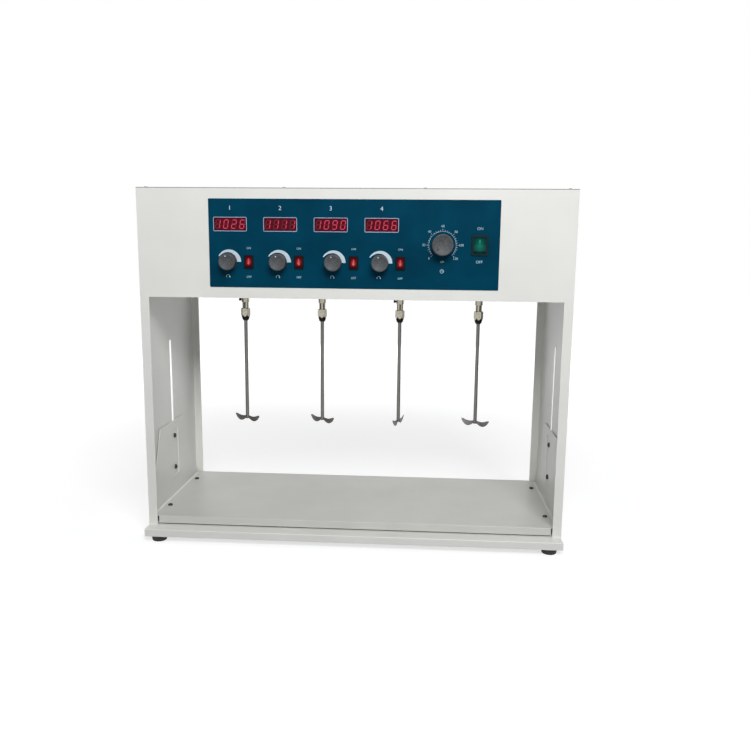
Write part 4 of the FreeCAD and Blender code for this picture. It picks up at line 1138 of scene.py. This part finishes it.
def rocker_marks(node, size, material):
    centre = middle(node)
    ridge, reach, half = centre.z + RIDGE_RISE, size * MARK_REACH, size * BAR_HALF
    bar = rectangle(centre.x - half, ridge + reach - size / 2, centre.x + half, ridge + reach + size / 2)
    outer, inner = size / 2, size / 2 - size * RING_WIDTH
    profile = [(outer, -INK), (inner, -INK), (inner, INK), (outer, INK), (outer, -INK)]
    flat, faces = spun(profile, Vector(), 0.0, 24)
    place = (centre.x, UPRIGHT_FACE - reach * math.sin(ROCKER_THROW),
             ridge - reach * math.cos(ROCKER_THROW))
    leaning = Matrix.Translation(place) @ Matrix.Rotation(-ROCKER_THROW, 4, "X")
    parts = [from_points("bar_mark", *prism(bar, UPRIGHT_FACE - INK, UPRIGHT_FACE + INK), material),
             from_points("ring_mark", [leaning @ Vector(p) for p in flat], faces, material)]
    return piece(node + "_marks", parts, node)


for n in STATIONS:
    rocker_marks(f"rocker_{n}", 2.6 * MM, MARK_PINK)
rocker_marks("main_rocker", 4.6 * MM, MARK_MINT)


# %% [markdown]
# A paddle is one pressed blade that droops from the rod, swings up to its tip and twists to a pitch
# of 12 degrees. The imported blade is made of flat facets; this one follows the same rule in finer
# steps, and its edges are rolled round by a bevel.

# %% Paddles
ROOT_HIGH, CHORD, SHEET = 5.2 * MM, 9.0 * MM, 1.2 * MM
DROOP, RISE, PITCH_ANGLE = 3.6 * MM, 3.4 * MM, math.radians(12)
PADDLE_REACH, ROOT_REACH = 26.0 * MM, 3.6 * MM
TIP_START, TIP_LOSS = 0.85, 0.5
TAB_HIGH, TAB_HALF = 7.5 * MM, 2.9 * MM
PADDLE_TURN = {1: -24.5, 2: -32.0, 3: 70.0, 4: -28.0}
BLADE_STEPS = 40
ROLLED = 0.3 * MM
CREASE = math.radians(50)


def blade_ring(share, bottom):
    """Four corners of the blade's section at a share of its reach, in the blade's own plane."""
    swing = math.sin(math.pi * share)
    chord = ROOT_HIGH + (CHORD - ROOT_HIGH) * swing
    chord *= 1 - TIP_LOSS * max(0.0, share - TIP_START) / (1 - TIP_START)
    centre = Vector((ROOT_REACH + share * (PADDLE_REACH - ROOT_REACH), 0,
                     bottom + ROOT_HIGH / 2 - DROOP * swing + RISE * share ** 2))
    lean = PITCH_ANGLE * math.sin(math.pi / 2 * min(1.0, 2 * share))
    up = Vector((0, -math.sin(lean), math.cos(lean))) * chord / 2
    side = Vector((0, math.cos(lean), math.sin(lean))) * SHEET / 2
    return [centre - up - side, centre + up - side, centre + up + side, centre - up + side]


def blade(bottom, flip):
    rings = [blade_ring(k / BLADE_STEPS, bottom) for k in range(BLADE_STEPS + 1)]
    turn = Matrix.Rotation(math.pi if flip else 0.0, 3, "Z")
    points = [turn @ p for ring in rings for p in ring]
    faces = [(0, 1, 2, 3), tuple(4 * BLADE_STEPS + i for i in range(4))] + skin(BLADE_STEPS + 1, 4)
    return from_points("blade", points, faces, BLADE, smooth=True)


def tab(bottom):
    """The middle of the blade, which fills the slot in the rod's end."""
    shoulder, top = bottom + ROOT_HIGH, bottom + TAB_HIGH
    outline = [(-ROOT_REACH, bottom), (ROOT_REACH, bottom), (ROOT_REACH, shoulder), (TAB_HALF, shoulder),
               (TAB_HALF, top), (-TAB_HALF, top), (-TAB_HALF, shoulder), (-ROOT_REACH, shoulder)]
    return from_points("tab", *prism(outline, -SHEET / 2, SHEET / 2), BLADE)


def pressed_paddle(station):
    axis = middle(f"stirring_rod_{station}")
    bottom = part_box(f"stirring_rod_{station}")[0].z
    parts = [blade(bottom, False), blade(bottom, True), tab(bottom)]
    turn = Matrix.Rotation(math.radians(PADDLE_TURN[station]), 4, "Z")
    for part in parts:
        part.matrix_world = Matrix.Translation((axis.x, axis.y, 0)) @ turn
    made = piece(f"pressed_paddle_{station}", parts, f"stirrer_{station}")
    made.data.set_sharp_from_angle(angle=CREASE)
    bevel = made.modifiers.new("rolled_edges", "BEVEL")
    bevel.width = ROLLED
    bevel.segments = 2
    bevel.limit_method = "ANGLE"
    bevel.angle_limit = CREASE
    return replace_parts(made, f"paddle_{station}")


for n in STATIONS:
    pressed_paddle(n)


# %% [markdown]
# The studio is a pale floor under soft light. A large lamp stands high in front and to the right, as
# the photograph's shading shows. Weaker lamps at the sides and behind show the case as white from
# there too, and stand low, so that they reach little of what the front shows. To the camera and to
# mirrors the surroundings are plain white; the floor keeps a soft shadow near the feet and fades to
# that white.

# %% Floor, world and lamps
FLOOR_PAINT, FLOOR_GLOW = "#b4b5b6", 0.68
FLOOR_HALF = 8.0
FADE_START, FADE_END = 0.5, 1.8
WORLD_FILL = 0.07
WHITE = (1, 1, 1, 1)
# Name, place, target, width and height in metres, watts, and whether mirrors show it.
# A lamp that mirrors don't show gives no glare on flat enamel.
LAMPS = (("high_front_softbox", (0.35, -1.5, 1.45), (0, 0, 0.3), 1.0, 0.7, 28, True),
         ("front_left_softbox", (-1.3, -1.9, 0.9), (0, 0, 0.3), 0.9, 0.9, 3.5, True),
         ("top_softbox", (0, 0.3, 2.2), (0, 0, 0.3), 1.2, 0.8, 3.5, False),
         ("rear_softbox", (0, 2.6, 0.55), (0, 0, 0.4), 0.6, 0.5, 14, False),
         ("side_softbox", (-2.2, 0, 0.5), (0, 0, 0.3), 0.3, 0.8, 11, False),
         ("side_softbox", (2.2, 0, 0.5), (0, 0, 0.3), 0.3, 0.8, 11, False))


def white_rays(tree):
    """1 for the rays of the eye, of mirrors and of glass, 0 for the rays that carry light."""
    seen = add(tree, "ShaderNodeLightPath").outputs
    share = seen["Is Camera Ray"]
    for kind in ("Is Glossy Ray", "Is Transmission Ray"):
        share = add(tree, "ShaderNodeMath", {0: share, 1: seen[kind]}, operation="MAXIMUM")
    return share


def pale_floor():
    made = bpy.data.materials.new("pale_studio_floor")
    made.use_nodes = True
    tree = made.node_tree
    tree.nodes.clear()
    paint = add(tree, "ShaderNodeBsdfDiffuse", {"Color": FLOOR_PAINT})
    place = add(tree, "ShaderNodeTexCoord").outputs["Object"]
    away = add(tree, "ShaderNodeVectorMath", {0: place}, operation="LENGTH")
    fade = add(tree, "ShaderNodeMapRange", {"Value": away, "From Min": FADE_START, "From Max": FADE_END,
                                            "To Min": FLOOR_GLOW})
    share = add(tree, "ShaderNodeMath", {0: white_rays(tree), 1: fade}, operation="MULTIPLY")
    white = add(tree, "ShaderNodeEmission", {"Color": WHITE, "Strength": share})
    both = add(tree, "ShaderNodeAddShader", {0: paint, 1: white})
    add(tree, "ShaderNodeOutputMaterial", {"Surface": both})
    return made


def studio_floor():
    corners = [(x, y, 0) for x, y in rectangle(-FLOOR_HALF, -FLOOR_HALF, FLOOR_HALF, FLOOR_HALF)]
    made = from_points("studio_floor", corners, [(0, 1, 2, 3)], pale_floor())


def studio_world():
    world = bpy.data.worlds.new("studio")
    bpy.context.scene.world = world
    world.use_nodes = True
    tree = world.node_tree
    tree.nodes.clear()
    soft = add(tree, "ShaderNodeBackground", {"Color": "#f4f7fb", "Strength": WORLD_FILL})
    white = add(tree, "ShaderNodeBackground", {"Color": WHITE, "Strength": 1.0})
    mixed = add(tree, "ShaderNodeMixShader", {0: white_rays(tree), 1: soft, 2: white})
    add(tree, "ShaderNodeOutputWorld", {"Surface": mixed})


def soft_lamp(name, place, target, width, height, watts, mirrored):
    lamp = bpy.data.lights.new(name, "AREA")
    lamp.shape = "RECTANGLE"
    lamp.size, lamp.size_y = width, height
    lamp.energy = watts
    made = bpy.data.objects.new(name, lamp)
    bpy.context.scene.collection.objects.link(made)
    aim = Vector(target) - Vector(place)
    made.matrix_world = Matrix.Translation(place) @ aim.to_track_quat("-Z", "Y").to_matrix().to_4x4()
    made.visible_glossy = mirrored


studio_floor()
studio_world()
for lamp in LAMPS:
    soft_lamp(*lamp)
print("lamps:", sum(lamp[5] for lamp in LAMPS), "W in all")
